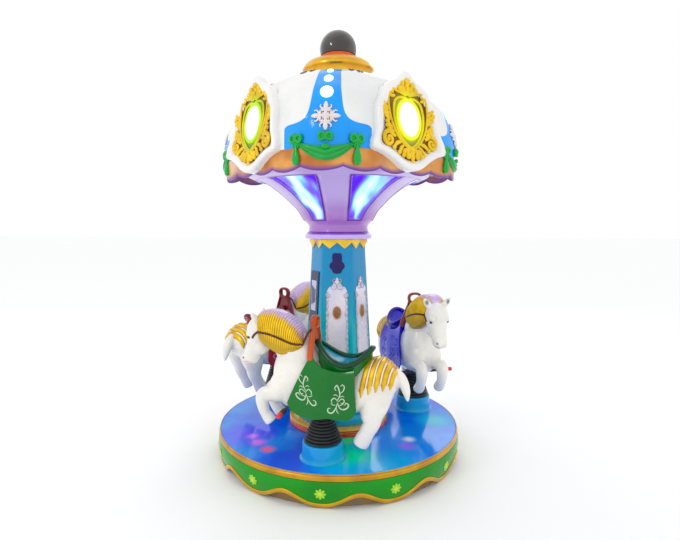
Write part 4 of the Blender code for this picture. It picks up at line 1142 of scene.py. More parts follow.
def frameShapes():
    # one half of the gold frame and its mirror image: mouldings that cross below the lamp, hooked leaves,
    # rolled scrolls, a crest of round lobes and a palmette
    half = []
    outer = smoothLine(((0.016, 0.124), (0.058, 0.128), (0.098, 0.138), (0.120, 0.120), (0.128, 0.080),
                        (0.127, 0.035), (0.117, -0.012), (0.097, -0.058), (0.066, -0.098), (0.024, -0.130),
                        (-0.018, -0.150)),
                        80)
    half.append(tube(raised(outer, 0.003), [(0.0070, 0.0110)], 12))
    inner = smoothLine(((0.010, 0.104), (0.050, 0.104), (0.084, 0.084), (0.098, 0.034), (0.093, -0.020),
                        (0.074, -0.064), (0.046, -0.100), (0.012, -0.124), (-0.026, -0.140),
                        (-0.048, -0.158)), 70)
    half.append(tube(raised(inner, 0.003), [(0.0075, 0.0090)], 12))
    half += scroll((0.101, 0.124), 0.022, 1.20, 230, 1, 0.0095)
    half += scroll((0.142, -0.098), 0.036, 1.35, 100, -1, 0.0135)
    for rise, reach, wide in ((0.062, 0.036, 0.0125), (0.040, 0.042, 0.0130), (0.018, 0.034, 0.0120),
                              (-0.020, 0.034, 0.0115), (-0.038, 0.044, 0.0120), (-0.056, 0.046, 0.0115)):
        x = np.interp(rise, (-0.060, -0.014, 0.036, 0.086), (0.095, 0.116, 0.127, 0.127))
        half += hook(((x, rise - 0.026), (x + reach * 0.55, rise - 0.014), (x + reach, rise)), wide, 0.011,
                     0.95)
    half += hook(((0.060, -0.104), (0.092, -0.112), (0.116, -0.134)), 0.0115, 0.010)
    half += hook(((0.048, -0.118), (0.068, -0.134), (0.084, -0.154)), 0.0115, 0.010)
    for tip, wide in (((0.052, 0.144), 0.0150), ((0.036, 0.168), 0.0155)):
        half += hook(((0.006, 0.120), (tip[0] * 0.7, 0.120 + (tip[1] - 0.120) * 0.5), tip), wide, 0.013)
    half += hook(((0.006, -0.132), (0.030, -0.146), (0.030, -0.168)), 0.0150, 0.013, 1.1)
    half += hook(((0.020, -0.136), (0.050, -0.146), (0.060, -0.166)), 0.0120, 0.012)
    middle = hook(((0.0, 0.116), (0.0, 0.150), (0.0, 0.182)), 0.0165, 0.014)
    middle += [ellipsoid(0, 0.146, 0.014, 0.013, 0.013, 0.009),
               leaf(((0.0, -0.130), (0.0, -0.170), (0.0, -0.212)), 0.017, 0.014),
               ellipsoid(0, -0.140, 0.012, 0.012, 0.012, 0.009),
               plate(smoothLine(bothSides(boards["bed"]), 200, True), 0.007, rings=8)]
    return middle + half + [mirrored(shape) for shape in half]


def lampDome(wide, tall, middle, rows, count, rimStart):
    # an oval dome of (share of the outline, height) rings, painted toward its rim
    a = around(count)
    share, height = (np.array(rows)[:, k, None] for k in (0, 1))
    grid = spots(wide * share * np.cos(a), middle + tall * share * np.sin(a), height)
    return surface(grid, edge=smoothStep(rimStart, 1.0, share))


def ovalShapes():
    # the lamp's domed glass and the ring that holds it, bright with painted lamp light and a glow
    wide, tall, y = boards["lamp"]
    a = around(96)
    rows = [(1.0, 0.000), (1.0, 0.003), (0.97, 0.006), (0.88, 0.009), (0.7, 0.012), (0.45, 0.014),
            (0.2, 0.0148), (0.03, 0.015)]
    ring = spots((wide + 0.008) * np.cos(a), y + (tall + 0.008) * np.sin(a), 0.002)
    return (lampDome(wide, tall, y, rows, 96, 0.72),
            tube(ring, [(0.0095, 0.0075)], 14, closed=True, near=0.85, hollow=0.0))


def ornamentGold(name, glow):
    # lacquered gold with painted shade in its hollows, and painted light and a glow from the lamp in its
    # middle
    finish = Finish(name, Coat_Weight=0.15, Coat_Roughness=0.10, Metallic=0.35, Emission_Strength=0.6)
    clouds = finish.cloud(12.0, 0.35, 0.7, 4.0)
    near = finish.painted("near")
    gold = finish.mixed((clouds * 0.30 + finish.painted("hollow") * 0.95).clamped(), colour(250, 208, 0),
                        colour(104, 62, 0))
    # painted lamp light: the gold takes the lamp's colour and glows beside the oval
    finish.set(Base_Color=finish.mixed(near * 0.55, gold, colour(*glow)),
               Roughness=0.24 + finish.noise(90.0) * 0.12,
               Emission_Color=finish.mixed((near * near).clamped(), (0.0, 0.0, 0.0),
                                           tuple(0.9 * c for c in colour(*glow))))
    return finish.material


def makeBoards():
    white = gelCoat("boardWhite", colour(244, 242, 240), colour(226, 226, 232), 0.14, 0.8)
    plain, frames = boardShape(), merged(frameShapes())
    wide, tall, y = boards["lamp"]
    p = frames["points"]
    distance = np.sqrt((p[:, 0] / wide) ** 2 + ((p[:, 1] - y) / tall) ** 2)
    # painted lamp light on the frame: strongest beside the oval, fading to nothing at about twice the lamp's
    # size
    frames["values"]["near"] = np.clip((1.95 - distance) / 0.95, 0, 1) ** 1.5
    # painted shade: the parts of the relief that lie low, near the bed, are darker
    frames["values"]["hollow"] = smoothStep(0.0085, 0.0030, p[:, 2])
    glass, ring = ovalShapes()
    for side in range(4):
        glow = boards["glow"][1 if side in (1, 3) else 0]
        n = side + 1
        gold = ornamentGold(f"ornamentGold{n}", glow)
        piece(f"board_{n}_shell", boardPlace(plain, side), white, "turntable", (f"board_{n}",),
              50.0)
        piece(f"board_{n}_frame", boardPlace(frames, side, boards["middle"] + boards["frameLift"]), gold,
              "turntable", (f"cartouche_{n}",), 50.0)
        piece(f"board_{n}_ring", boardPlace(ring, side, boards["ringLift"]), gold, "turntable", ())
        piece(f"board_{n}_lamp", boardPlace(glass, side, boards["lampLift"]),
              lit(f"lampGlass{n}", (0.95, 0.97, 1.0), boards["brightness"], colour(*glow)),
              "turntable", ())


# Ornaments of the blue panels, drawn flat: X across, Y the height above the datum, Z outward

panelDress = {
    "lamps": ((1.953, 0.015), (1.896, 0.021), (1.819, 0.029)), "brightness": 1.5,    # height, radius
    "cross": (1.707, 0.064),       # height of its middle, reach of an arm
    "bowHeight": 1.614, "bowReach": 0.142,
    "swagTop": 1.582, "swagLow": 1.518,
    "tasselLow": 1.503,
}


def crossShapes():
    # four pointed arms, each with a pair of barbs that bend outward and back, round a rosette
    reach = panelDress["cross"][1]
    arm = [leaf(((0, 0.002), (0, reach * 0.30), (0, reach * 0.60)), 0.0078, 0.008),
           leaf(((0, reach * 0.42), (0, reach * 0.74), (0, reach)), 0.0110, 0.009)]
    barb = smoothLine(((0.001, reach * 0.44), (0.015, reach * 0.50), (0.024, reach * 0.64),
                       (0.021, reach * 0.78)), 22)
    arm.append(tube(raised(barb, 0.003), np.linspace(0.0060, 0.0022, 22), 8))
    arm.append(leaf(((0.004, reach * 0.40), (0.014, reach * 0.36), (0.024, reach * 0.42)), 0.0060, 0.007, 12))
    arm += [mirrored(shape) for shape in arm[2:]]
    shapes = [turnedRound(shape, angle) for angle in (0, 90, 180, 270) for shape in arm]
    petals = [turnedRound(leaf(((0.002, 0.002), (0.008, 0.008), (0.015, 0.015)), 0.0052, 0.006, 12), angle)
              for angle in (0, 90, 180, 270)]
    return shapes + petals + [ellipsoid(0, 0, 0.003, 0.008, 0.008, 0.009, 10, 18)]


def swagShapes():
    # a crescent of cloth between the bows: rows run from its upper edge to its lower edge in soft folds
    s = np.linspace(-1, 1, 90)
    v = np.linspace(0, 1, 34)
    reach, bow = panelDress["bowReach"] - 0.006, panelDress["bowHeight"] - 0.008
    upper = panelDress["swagTop"] + (bow - panelDress["swagTop"]) * np.abs(s) ** 2.4
    lower = panelDress["swagLow"] + (bow - 0.010 - panelDress["swagLow"]) * np.abs(s) ** 1.9
    y = upper[:, None] + (lower - upper)[:, None] * v
    belly = np.sin(math.pi * np.clip(v * 0.92 + 0.04, 0, 1)) ** 0.6
    folds = 0.0022 * np.cos(2 * math.pi * (2.6 * v[None] + 0.8 * np.abs(s[:, None])))
    z = 0.002 + (0.014 + folds) * belly * (1 - np.abs(s[:, None]) ** 6 * 0.7)
    front = spots(reach * s[:, None], y, z)
    back = (front * [1, 1, 0] - [0, 0, 0.001])[:, ::-1]
    shapes = [surface(np.concatenate([front, back], 1))]
    for cx, size in ((0.0, 1.10), (-panelDress["bowReach"], 1.18), (panelDress["bowReach"], 1.18)):
        y0 = panelDress["bowHeight"] + (0.004 if cx == 0 else 0)
        for hand in (1, -1):
            a = around(40)
            loopX = cx + hand * size * (0.013 + 0.012 * np.cos(a))
            loopY = y0 + size * (0.002 + 0.0105 * np.sin(a) * (1.15 + 0.25 * np.cos(a)))
            shapes.append(tube(spots(loopX, loopY, 0.0065), [(0.0062 * size, 0.0085 * size)], 12,
                               closed=True))
            shapes.append(ellipsoid(cx + hand * size * 0.014, y0 + size * 0.002, 0.005, 0.013 * size,
                                    0.011 * size, 0.005, 10, 18))
        shapes.append(ellipsoid(cx, y0 - 0.002, 0.009, 0.0075 * size, 0.0085 * size, 0.008, 12, 18))
        if cx:
            t = np.linspace(0, 1, 40)
            drop = spots(cx, y0 - 0.006 + (panelDress["tasselLow"] - y0 + 0.006) * t, 0.008)
            closing = np.sqrt(np.clip(1 - ((t - 0.78) / 0.225).clip(0, 1) ** 2, 0.02, 1))
            width = 0.0060 + 0.0140 * smoothStep(0.15, 0.75, t) * closing
            shapes.append(tube(drop, np.column_stack([width, width * 0.6]), 20))
            for lean in (-1, 1):
                strap = smoothLine(((cx, y0 - 0.004), (cx + lean * 0.010, y0 - 0.020),
                                    (cx + lean * 0.013, y0 - 0.038)), 16)
                shapes.append(tube(raised(strap, 0.006), [(0.0055, 0.005)], 10))
    shapes.append(ellipsoid(0, panelDress["swagTop"] - 0.004, 0.012, 0.018, 0.012, 0.009, 14, 22))
    for lean in (-0.020, -0.010, 0.0, 0.010, 0.020):
        shapes.append(leaf(((lean * 0.3, panelDress["swagTop"] - 0.006),
                            (lean, panelDress["swagTop"] - 0.024)), 0.0045, 0.008, 12))
    return shapes


def makePanelDress():
    silver = Finish("crossSilver", Coat_Weight=0.5, Metallic=0.2)
    # painted shade: the silver turns grey in its hollows
    hollow = silver.hollow(0.45, 0.54)
    silver.set(Base_Color=silver.mixed(hollow, colour(232, 222, 220), colour(140, 128, 140)),
               Roughness=0.25 + silver.noise(80.0) * 0.1)
    green = Finish("swagGreen", Coat_Weight=0.3, Coat_Roughness=0.04, Specular_IOR_Level=0.25)
    # painted shade: the green darker in the hollows of its folds, with random tone from noise
    fold = green.hollow(0.45, 0.53)
    green.set(Base_Color=green.mixed((fold * 0.6 + green.noise(20.0) * 0.5).clamped(), colour(0, 182, 70),
                                     colour(0, 112, 40)),
              Roughness=0.2 + green.noise(50.0) * 0.1)
    ink = gelCoat("scrollNavy", colour(24, 52, 112), colour(16, 36, 84), 0.3, 0.4)
    cross = [moved(shape, np.eye(3), (0, panelDress["cross"][0], 0)) for shape in crossShapes()]
    swag = swagShapes()
    curls = []
    for hand in (1, -1):
        for centre, size, start in (((hand * 0.100, 1.975), 0.021, 90), ((hand * 0.134, 1.967), 0.015, 270),
                                    ((hand * 0.158, 1.960), 0.008, 90)):
            line = spiral(centre, size, 1.25, start, hand, 0.25, 26)
            curls.append(tube(raised(line, 0.001), np.linspace(0.0028, 0.0012, 26), 6))
    rows = [(1.0, 0.0), (1.0, 0.0025), (0.9, 0.0042), (0.7, 0.0062), (0.4, 0.0080), (0.1, 0.0086)]
    for side in range(4):
        n = side + 1

        def laid(shapes, lift=-0.001):
            return [onCorner(shape, lift, side) for shape in shapes]

        lamps = []
        for y, r in panelDress["lamps"]:
            lamps.append(lampDome(r, r * 0.95, y, [(share, rise * r / 0.02) for share, rise in rows], 48,
                                  0.75))
        piece(f"panel_{n}_lamps", laid(lamps),
              lit(f"lampWhite{n}", (0.9, 0.97, 1.0), panelDress["brightness"], colour(160, 236, 255)),
              "turntable", ())
        piece(f"panel_{n}_cross", laid(cross), silver.material, "turntable", (), 60.0)
        piece(f"panel_{n}_swag", laid(swag), green.material, "turntable", (), 60.0)
        piece(f"panel_{n}_curls", laid(curls, 0.001), ink, "turntable", ())


# Cap, neck and globe

def makeTop():
    def reachOf(node):
        bottom, top = nodeBox(node)
        return bottom.z, top.z, top.x

    low, high, wide = reachOf("cap")
    # a ring round the neck, a hollow step, a rounded shoulder and a foot that draws in
    drops = ((0.100, 0.000), (0.107, 0.001), (0.112, 0.004), (0.118, 0.0052), (0.128, 0.0035),
             (0.138, 0.0068), (0.146, 0.012), (0.150, 0.017), (0.158, 0.018), (0.170, 0.022), (0.182, 0.034),
             (0.188, 0.044), (0.190, 0.0475), (wide, 0.052), (wide, 0.060), (0.188, 0.066), (0.1855, 0.071),
             (0.1855, high - low))
    line = [(0.002, high)] + [(radius, high - drop) for radius, drop in drops] + [(0.002, low)]
    piece("cap_rings", turned(line, 160),
          goldPaint("capGold", colour(250, 196, 20), colour(196, 112, 16), 0.55, 0.2), "turntable",
          ("cap",))
    low, high, wide = reachOf("neck")
    line = [(0.002, high), (wide - 0.014, high), (wide - 0.007, high - 0.0015), (wide - 0.0045, high - 0.006),
            (wide - 0.006, high - 0.010), (wide - 0.002, high - 0.013), (wide - 0.001, low + 0.006),
            (wide, low + 0.002), (wide, low), (0.002, low)]
    piece("neck_ring", turned(line, 128),
          gelCoat("neckOrange", colour(236, 96, 14), colour(176, 44, 8), 0.2, 0.7), "turntable",
          ("neck",))
    low, high, radius = reachOf("globe")
    middle = high - radius
    a = np.linspace(0.02, math.acos((low - middle) / radius), 60)
    line = [(radius * math.sin(q), middle + radius * math.cos(q)) for q in a] + [(0.002, low)]
    finish = Finish("globeSmoke", Coat_Weight=1.0, Coat_Roughness=0.01)
    cloud = finish.cloud(9.0, 0.45, 0.65)
    finish.set(Base_Color=finish.mixed(cloud, colour(14, 12, 12), colour(52, 40, 34)),
               Roughness=0.06 + finish.noise(20.0) * 0.04)
    piece("globe_dome", turned(line, 128), finish.material, "turntable", ("globe",))


makeBoards()
makePanelDress()
makeTop()
print("boards, ornaments and globe are made")


# Horses. Each is drawn once about its own post, +X ahead and +Y to its left, then set on the circle.

horse = {
    "circle": 0.490, "shift": -0.015, "turn": -7.5,
    "lift": (0.0, 0.025, 0.030),
    "voxel": 0.0045, "smoothing": 5,
    # torso: x, top, bottom, half width
    "torso": ((0.258, 0.530, 0.480, 0.020), (0.252, 0.575, 0.450, 0.048), (0.238, 0.618, 0.412, 0.072),
              (0.212, 0.652, 0.378, 0.090), (0.160, 0.664, 0.351, 0.103), (0.080, 0.632, 0.350, 0.107),
              (0.000, 0.570, 0.350, 0.109), (-0.080, 0.550, 0.352, 0.111), (-0.150, 0.568, 0.366, 0.114),
              (-0.205, 0.612, 0.392, 0.117), (-0.255, 0.626, 0.415, 0.116), (-0.300, 0.607, 0.438, 0.101),
              (-0.333, 0.575, 0.468, 0.074), (-0.347, 0.545, 0.500, 0.030)),
    # neck and head: x, z, half depth, half width
    "neck": ((0.095, 0.560, 0.080, 0.080), (0.130, 0.612, 0.092, 0.086), (0.180, 0.672, 0.088, 0.080),
             (0.238, 0.722, 0.074, 0.070), (0.290, 0.755, 0.062, 0.061), (0.325, 0.768, 0.050, 0.054)),
    "head": ((0.318, 0.785, 0.024, 0.030), (0.330, 0.768, 0.044, 0.052), (0.343, 0.735, 0.058, 0.064),
             (0.350, 0.690, 0.049, 0.060), (0.361, 0.645, 0.046, 0.050), (0.379, 0.606, 0.044, 0.041),
             (0.389, 0.582, 0.038, 0.037), (0.394, 0.566, 0.025, 0.027), (0.395, 0.559, 0.010, 0.012)),
    # rounded masses: x, y, z, half depth, half width, half height
    "masses": ((0.332, 0.014, 0.655, 0.040, 0.040, 0.050), (0.368, 0.038, 0.716, 0.026, 0.022, 0.022),
               (0.402, 0.014, 0.590, 0.028, 0.024, 0.026), (0.372, 0.000, 0.578, 0.026, 0.032, 0.020),
               (0.200, 0.045, 0.470, 0.070, 0.052, 0.080), (-0.250, 0.052, 0.500, 0.085, 0.060, 0.095)),
    # legs: x, y, z, half depth, half width
    "foreLeg": ((0.165, 0.050, 0.450, 0.040, 0.036), (0.215, 0.056, 0.440, 0.043, 0.038),
                (0.262, 0.060, 0.435, 0.038, 0.034), (0.294, 0.062, 0.428, 0.036, 0.033),
                (0.303, 0.062, 0.402, 0.034, 0.032), (0.300, 0.062, 0.365, 0.028, 0.028),
                (0.287, 0.062, 0.334, 0.026, 0.027), (0.272, 0.062, 0.314, 0.029, 0.030),
                (0.259, 0.062, 0.298, 0.027, 0.029), (0.255, 0.062, 0.293, 0.012, 0.014)),
    "hindLeg": ((-0.240, 0.052, 0.540, 0.070, 0.045), (-0.246, 0.062, 0.480, 0.082, 0.050),
                (-0.240, 0.066, 0.420, 0.072, 0.046), (-0.235, 0.066, 0.375, 0.055, 0.040),
                (-0.232, 0.065, 0.335, 0.042, 0.034), (-0.214, 0.064, 0.295, 0.036, 0.031),
                (-0.197, 0.063, 0.262, 0.038, 0.032), (-0.184, 0.063, 0.238, 0.038, 0.033),
                (-0.179, 0.063, 0.228, 0.033, 0.030), (-0.177, 0.063, 0.224, 0.014, 0.014)),
    "ear": ((0.334, 0.040, 0.776, 0.013, 0.017), (0.339, 0.055, 0.795, 0.015, 0.019),
            (0.345, 0.068, 0.812, 0.010, 0.013), (0.350, 0.078, 0.826, 0.003, 0.004)),
    "tail": ((-0.325, 0.565, 0.022, 0.024), (-0.352, 0.545, 0.024, 0.030), (-0.372, 0.510, 0.023, 0.032),
             (-0.383, 0.474, 0.018, 0.024), (-0.388, 0.445, 0.010, 0.012), (-0.390, 0.430, 0.003, 0.003)),
    "boss": (0.046, 0.3375),
    "eye": (0.376, 0.052, 0.700), "nostril": (0.4165, 0.0345, 0.592), "mouth": (0.398, 0.034, 0.571),
}


def torsoRings(x):
    # top, bottom and half width of the stations' smooth curve at x
    dense = smoothLine(horse["torso"], 200)
    order = np.argsort(dense[:, 0])
    return (np.interp(x, dense[order, 0], dense[order, k]) for k in (1, 2, 3))


def torsoPoint(x, angle):
    # upright superellipse rings; angle 0 is the spine, positive down the left flank
    top, bottom, wide = torsoRings(x)
    middle = bottom + (top - bottom) * 0.46
    c, s = np.cos(angle), np.sin(angle)
    reach = np.where(c > 0, top - middle, middle - bottom)
    return spots(x, wide * np.sign(s) * np.abs(s) ** 0.88, middle + reach * np.sign(c) * np.abs(c) ** 0.88)


def limb(stations, side=1, count=40):
    # a path in 3-D with a half depth in the plane of the horse's side and a half width across it
    rows = smoothLine(stations, count)
    path = rows[:, :3] * [1, side, 1]
    return tube(path, rows[:, 3:], 24, up=(0, 1, 0))


def remeshed(shapes, voxel):
    # the shapes joined into one skin of even quads
    shape = merged(shapes)
    mesh = bpy.data.meshes.new("horseDraft")
    mesh.from_pydata(shape["points"].tolist(), [], shape["quads"].tolist() + shape["tris"].tolist())
    item = bpy.data.objects.new("horseDraft", mesh)
    bpy.context.scene.collection.objects.link(item)
    step = item.modifiers.new("skin", "REMESH")
    step.mode, step.voxel_size = "VOXEL", voxel
    result = item.evaluated_get(bpy.context.evaluated_depsgraph_get()).to_mesh()
    points = np.empty(len(result.vertices) * 3)
    result.vertices.foreach_get("co", points)
    faces = [tuple(face.vertices) for face in result.polygons]
    quads = np.array([face for face in faces if len(face) == 4])
    tris = np.array([face for face in faces if len(face) == 3] or np.zeros((0, 3)), int).reshape(-1, 3)
    bpy.data.objects.remove(item)
    bpy.data.meshes.remove(mesh)
    return {"points": points.reshape(-1, 3), "quads": quads, "tris": tris, "values": {}}


def relaxed(shape, rounds):
    # each point moves to the mean of its neighbours, then a little back, so that the skin keeps its size
    q, p = shape["quads"], shape["points"]
    edges = np.vstack([q[:, [0, 1]], q[:, [1, 2]], q[:, [2, 3]], q[:, [3, 0]]])
    for share in (0.6, -0.62) * rounds:
        total, count = np.zeros_like(p), np.zeros(len(p))
        for a, b in ((0, 1), (1, 0)):
            np.add.at(total, edges[:, a], p[edges[:, b]])
            np.add.at(count, edges[:, a], 1)
        p = p + share * (total / np.maximum(count, 1)[:, None] - p)
    return {**shape, "points": p}


def smoothNear(points, centre, reach):
    # one at the centre; elsewhere the exponential of minus the squared distance in units of reach
    distance = np.linalg.norm((points - np.asarray(centre)) / np.asarray(reach), axis=1)
    return np.exp(-distance ** 2)


def makeHorseBody():
    x = np.concatenate([np.linspace(0.2575, 0.235, 14), np.linspace(0.23, -0.30, 60),
                        np.linspace(-0.305, -0.3465, 16)])
    shapes = [surface(torsoPoint(x[:, None], around(96)))]
    for key in ("neck", "head", "tail"):
        rows = np.array(horse[key])
        path = np.column_stack([rows[:, 0], 0 * rows[:, 0], rows[:, 1], rows[:, 2:]])
        shapes.append(limb(path, 1, 60))
    for side in (1, -1):
        shapes += [limb(horse[key], side) for key in ("foreLeg", "hindLeg", "ear")]
        shapes += [ellipsoid(mx, my * side, *rest) for mx, my, *rest in horse["masses"]]
    radius, low = horse["boss"]
    shapes.append(turned([(0.003, low), (radius - 0.004, low), (radius, low + 0.004), (radius + 0.004, 0.37),
                          (0.003, 0.40)], 48,
                         place=postPlace()))
    skin = relaxed(remeshed(shapes, horse["voxel"]), horse["smoothing"])
    p = skin["points"]
    # sockets, nostrils and mouth are dents that fade out by the distance from their middles
    for side in (1, -1):
        for key, reach, inward in (("eye", (0.012, 0.02, 0.009), 0.001),
                                   ("nostril", (0.009, 0.012, 0.008), 0.004),
                                   ("mouth", (0.020, 0.02, 0.005), 0.0)):
            dent = smoothNear(p, np.array(horse[key]) * [1, side, 1], reach)
            p = p - dent[:, None] * [inward, 0.004 * side, 0]
    skin["points"] = p

    def nearBoth(spot, reach):
        return sum(smoothNear(p, np.array(spot) * [1, side, 1], reach) for side in (1, -1))

    # dark is painted shade in the nostrils' pits, ear is painted shade inside the ears, shade is painted
    # shade low on the body; pink is the mouth's own paint
    skin["values"] = {"dark": smoothStep(0.35, 0.7, nearBoth(horse["nostril"], (0.0085, 0.014, 0.0070))),
                      "pink": np.clip(nearBoth(horse["mouth"], (0.020, 0.02, 0.0042)) * 1.3, 0, 1),
                      "ear": smoothStep(0.3, 0.6, nearBoth((0.356, 0.062, 0.803), (0.010, 0.012, 0.016)))
                      * (p[:, 0] > 0.345),
                      "shade": np.clip((0.42 - p[:, 2]) / 0.2, 0, 1)}
    return skin


def stance(k):
    # where a horse's frame stands on the circle, and the turn by its heading
    a = math.radians(120 * k)
    heading = a + math.pi + math.radians(horse["turn"])
    c, s = math.cos(heading), math.sin(heading)
    return compass(a)[1] * (horse["circle"] + horse["shift"]), np.array([[c, -s, 0], [s, c, 0], [0, 0, 1]])


def placed(shape, k):
    offset, turn = stance(k)
    return moved(shape, turn, offset + [0, 0, horse["lift"][k]])


pedestal = {"turn": -1.8,    # degrees that the post stands off the horse's own place on the circle
            "top": 0.2105, "radius": 0.0985, "bellowsLow": 0.2113, "bellowsTop": 0.3372, "ribs": 9,
            "lowRadius": 0.094, "topRadius": 0.047, "ribDepth": 0.0080}


def pedestalSpot(k):
    return compass(math.radians(120 * k + pedestal["turn"]))[1] * horse["circle"]


def postPlace():
    # where the post stands in the horse's frame
    offset, turn = stance(0)
    return tuple((turn.T @ (pedestalSpot(0) - offset))[:2])


def horseGloss():
    finish = Finish("horseWhite", Coat_Weight=0.8, Coat_Roughness=0.04)
    cloud = finish.cloud(7.0, 0.35, 0.72, 4.0)
    warm = finish.mixed(cloud * 0.7, colour(243, 240, 232), colour(226, 222, 216))
    shaded = finish.mixed(finish.painted("shade") * 0.5, warm, colour(206, 208, 226))
    pinked = finish.mixed(finish.painted("pink") * 0.8, shaded, colour(238, 150, 160))
    # painted shade inside the ears and in the nostrils
    eared = finish.mixed(finish.painted("ear") * 0.85, pinked, colour(96, 88, 92))
    return finish.set(Base_Color=finish.mixed(finish.painted("dark"), eared, colour(40, 34, 36)),
                      Roughness=0.2 + finish.noise(30.0) * 0.12,
                      Normal=finish.bump(finish.noise(18.0, 2.0), 0.2, 0.0008))


mane = {
    # the crest over the spine and the lower edge on each flank, front to rear: x, z
    "crest": ((0.338, 0.806), (0.315, 0.826), (0.275, 0.834), (0.232, 0.830), (0.190, 0.812), (0.150, 0.780),
              (0.118, 0.742), (0.100, 0.705), (0.092, 0.672)),
    "low": ((0.322, 0.722), (0.316, 0.700), (0.290, 0.676), (0.252, 0.652), (0.206, 0.634), (0.170, 0.640),
            (0.138, 0.652), (0.112, 0.664), (0.096, 0.668)),
    # half width of the lower edge and of the widest part, front to rear
    "edgeHalf": (0.058, 0.064, 0.070, 0.074, 0.078, 0.082, 0.082, 0.076, 0.050),
    "wideHalf": (0.052, 0.064, 0.078, 0.088, 0.094, 0.094, 0.088, 0.074, 0.048),
    "ribs": 30, "ribDepth": 0.0034,
}


def manePoint(u, v):
    # u runs front to rear, v from the left lower edge (1) over the crest (0) to the right (-1)
    row = u * 8.0
    crest, low = smoothAt(mane["crest"], row), smoothAt(mane["low"], row)
    edge = smoothAt(np.column_stack([mane["edgeHalf"]] * 2), row)[..., 0]
    wide = smoothAt(np.column_stack([mane["wideHalf"]] * 2), row)[..., 0]
    a = np.abs(v)
    fall = 1 - np.cos(a * math.pi / 2) ** 0.85
    spread = np.sin(np.clip(a * 1.35, 0, 1) * math.pi / 2) ** 0.75
    half = spread * (wide + (edge - wide) * smoothStep(0.45, 1.0, a))
    x = crest[..., 0] + (low[..., 0] - crest[..., 0]) * fall
    z = crest[..., 1] + (low[..., 1] - crest[..., 1]) * fall
    return spots(x, np.sign(v) * half, z)


def withBack(value, shape):
    # a painted value on the outer side of a folded shell, and zero on its back
    value = np.broadcast_to(value, shape)
    return np.concatenate([value, value * 0], 1)


def maneShape():
    u = np.linspace(0, 1, 330)[:, None]
    v = np.linspace(1, -1, 81)
    grid = manePoint(u, v)
    across, along = np.gradient(grid, axis=1), np.gradient(grid, axis=0)
    normal = np.cross(across, along)
    normal /= np.linalg.norm(normal, axis=2, keepdims=True) + 1e-12
    # turned so that it points away from the neck's middle
    outer = normal * np.sign(((grid - [0.2, 0, 0.68]) * normal).sum(2, keepdims=True))
    a = np.abs(v)
    phase = u * mane["ribs"] + 0.25 * a
    groove = np.abs(np.cos(math.pi * phase)) ** 0.6
    fade = (smoothStep(0.02, 0.14, a) * smoothStep(1.0, 0.93, a) * smoothStep(0, 0.03, u)
            * smoothStep(1, 0.97, u))
    grid = grid + outer * (mane["ribDepth"] * (groove - 0.4) * fade)[..., None]
    inner = grid[:, ::-1] * [1, 0.55, 1] + [0, 0, -0.012]
    shape = (len(u), len(v))
    return surface(np.concatenate([grid, inner], 1), rib=withBack(groove, shape),
                   fall=withBack(a, shape))


def maneGold():
    finish = Finish("maneGold", Coat_Weight=0.2, Coat_Roughness=0.08, Specular_IOR_Level=0.3)
    rib, fall = finish.painted("rib"), finish.painted("fall")
    broad = finish.noise(26.0, 3.0)
    # painted shade: the white part near the crest is painted lilac, the shade of the violet lamps on white;
    # gold and lilac are painted lighter on the ribs' ridges and darker in their grooves, a painted highlight
    # and shade, with random tone from noise
    pale = finish.step(fall + (broad - 0.5) * 0.25 + rib * 0.10, 0.46, 0.20)
    gold = finish.mixed((rib * 0.9 + (broad - 0.5) * 0.8).clamped(), colour(150, 88, 6), colour(255, 212, 10))
    lower = finish.mixed(finish.step(fall, 0.80, 0.95), gold, colour(196, 158, 34))
    lilac = finish.mixed((rib * 0.8 + (finish.noise(60.0) - 0.5)).clamped(), colour(164, 122, 190),
                         colour(232, 214, 240))
    return finish.set(Base_Color=finish.mixed(pale, lower, lilac), Metallic=(1.0 - pale) * 0.45,
                      Roughness=0.26 + finish.noise(80.0) * 0.12)


croup = {
    "strips": 5, "front": -0.203, "length": 0.143, "rear": -0.3455,
    "reach": 0.85, "points": 0.16, "down": 98.0,    # degrees round from the spine
    "ridge": 0.0055, "lift": 0.0035,
}


def croupShape():
    # a shell over the rump whose strips run down from the spine; gold strips end in points
    u = np.linspace(0, 1, 126)[:, None]
    v = np.linspace(-1, 1, 105)
    a = np.abs(v)
    phase = u * (croup["strips"] - 0.25) + 0.02
    inStrip = np.abs((phase % 1.0) - 0.5) * 2
    gold = smoothStep(0.86, 0.72, inStrip)
    down = a * (croup["reach"] + croup["points"] * smoothStep(0.75, 0.0, inStrip))
    x = croup["front"] - croup["length"] * u ** 0.92 + (0.030 - 0.012 * u) * down
    angle = np.sign(v) * down * math.radians(croup["down"])
    rump = torsoPoint(np.maximum(x, croup["rear"]), angle)
    # a round ridge on each gold strip, a lower one on the white between
    ridge = np.where(inStrip < 0.71, np.sqrt(np.clip(1 - (inStrip / 0.72) ** 2, 0, 1)),
                     0.72 * np.sqrt(np.clip(1 - ((1 - inStrip) / 0.30) ** 2, 0, 1)))
    lift = ((croup["lift"] + croup["ridge"] * ridge) * smoothStep(1.0, 0.90, a)
            * smoothStep(0, 0.02, u) * smoothStep(1, 0.985, u))
    lift = lift - 0.004 * (a > 0.985)
    out = (rump - [0, 0, 0.47]) * [0.35, 1, 1]    # away from the torso's middle line
    out /= np.linalg.norm(out, axis=2, keepdims=True)
    ring = np.concatenate([rump + out * lift[..., None], (rump - out * 0.006)[:, ::-1]], 1)
    onSpine = 1 - smoothStep(0.10, 0.26, a)
    shape = (len(u), len(v))
    return surface(ring, gold=withBack(np.maximum(gold, onSpine), shape), ridge=withBack(ridge, shape))


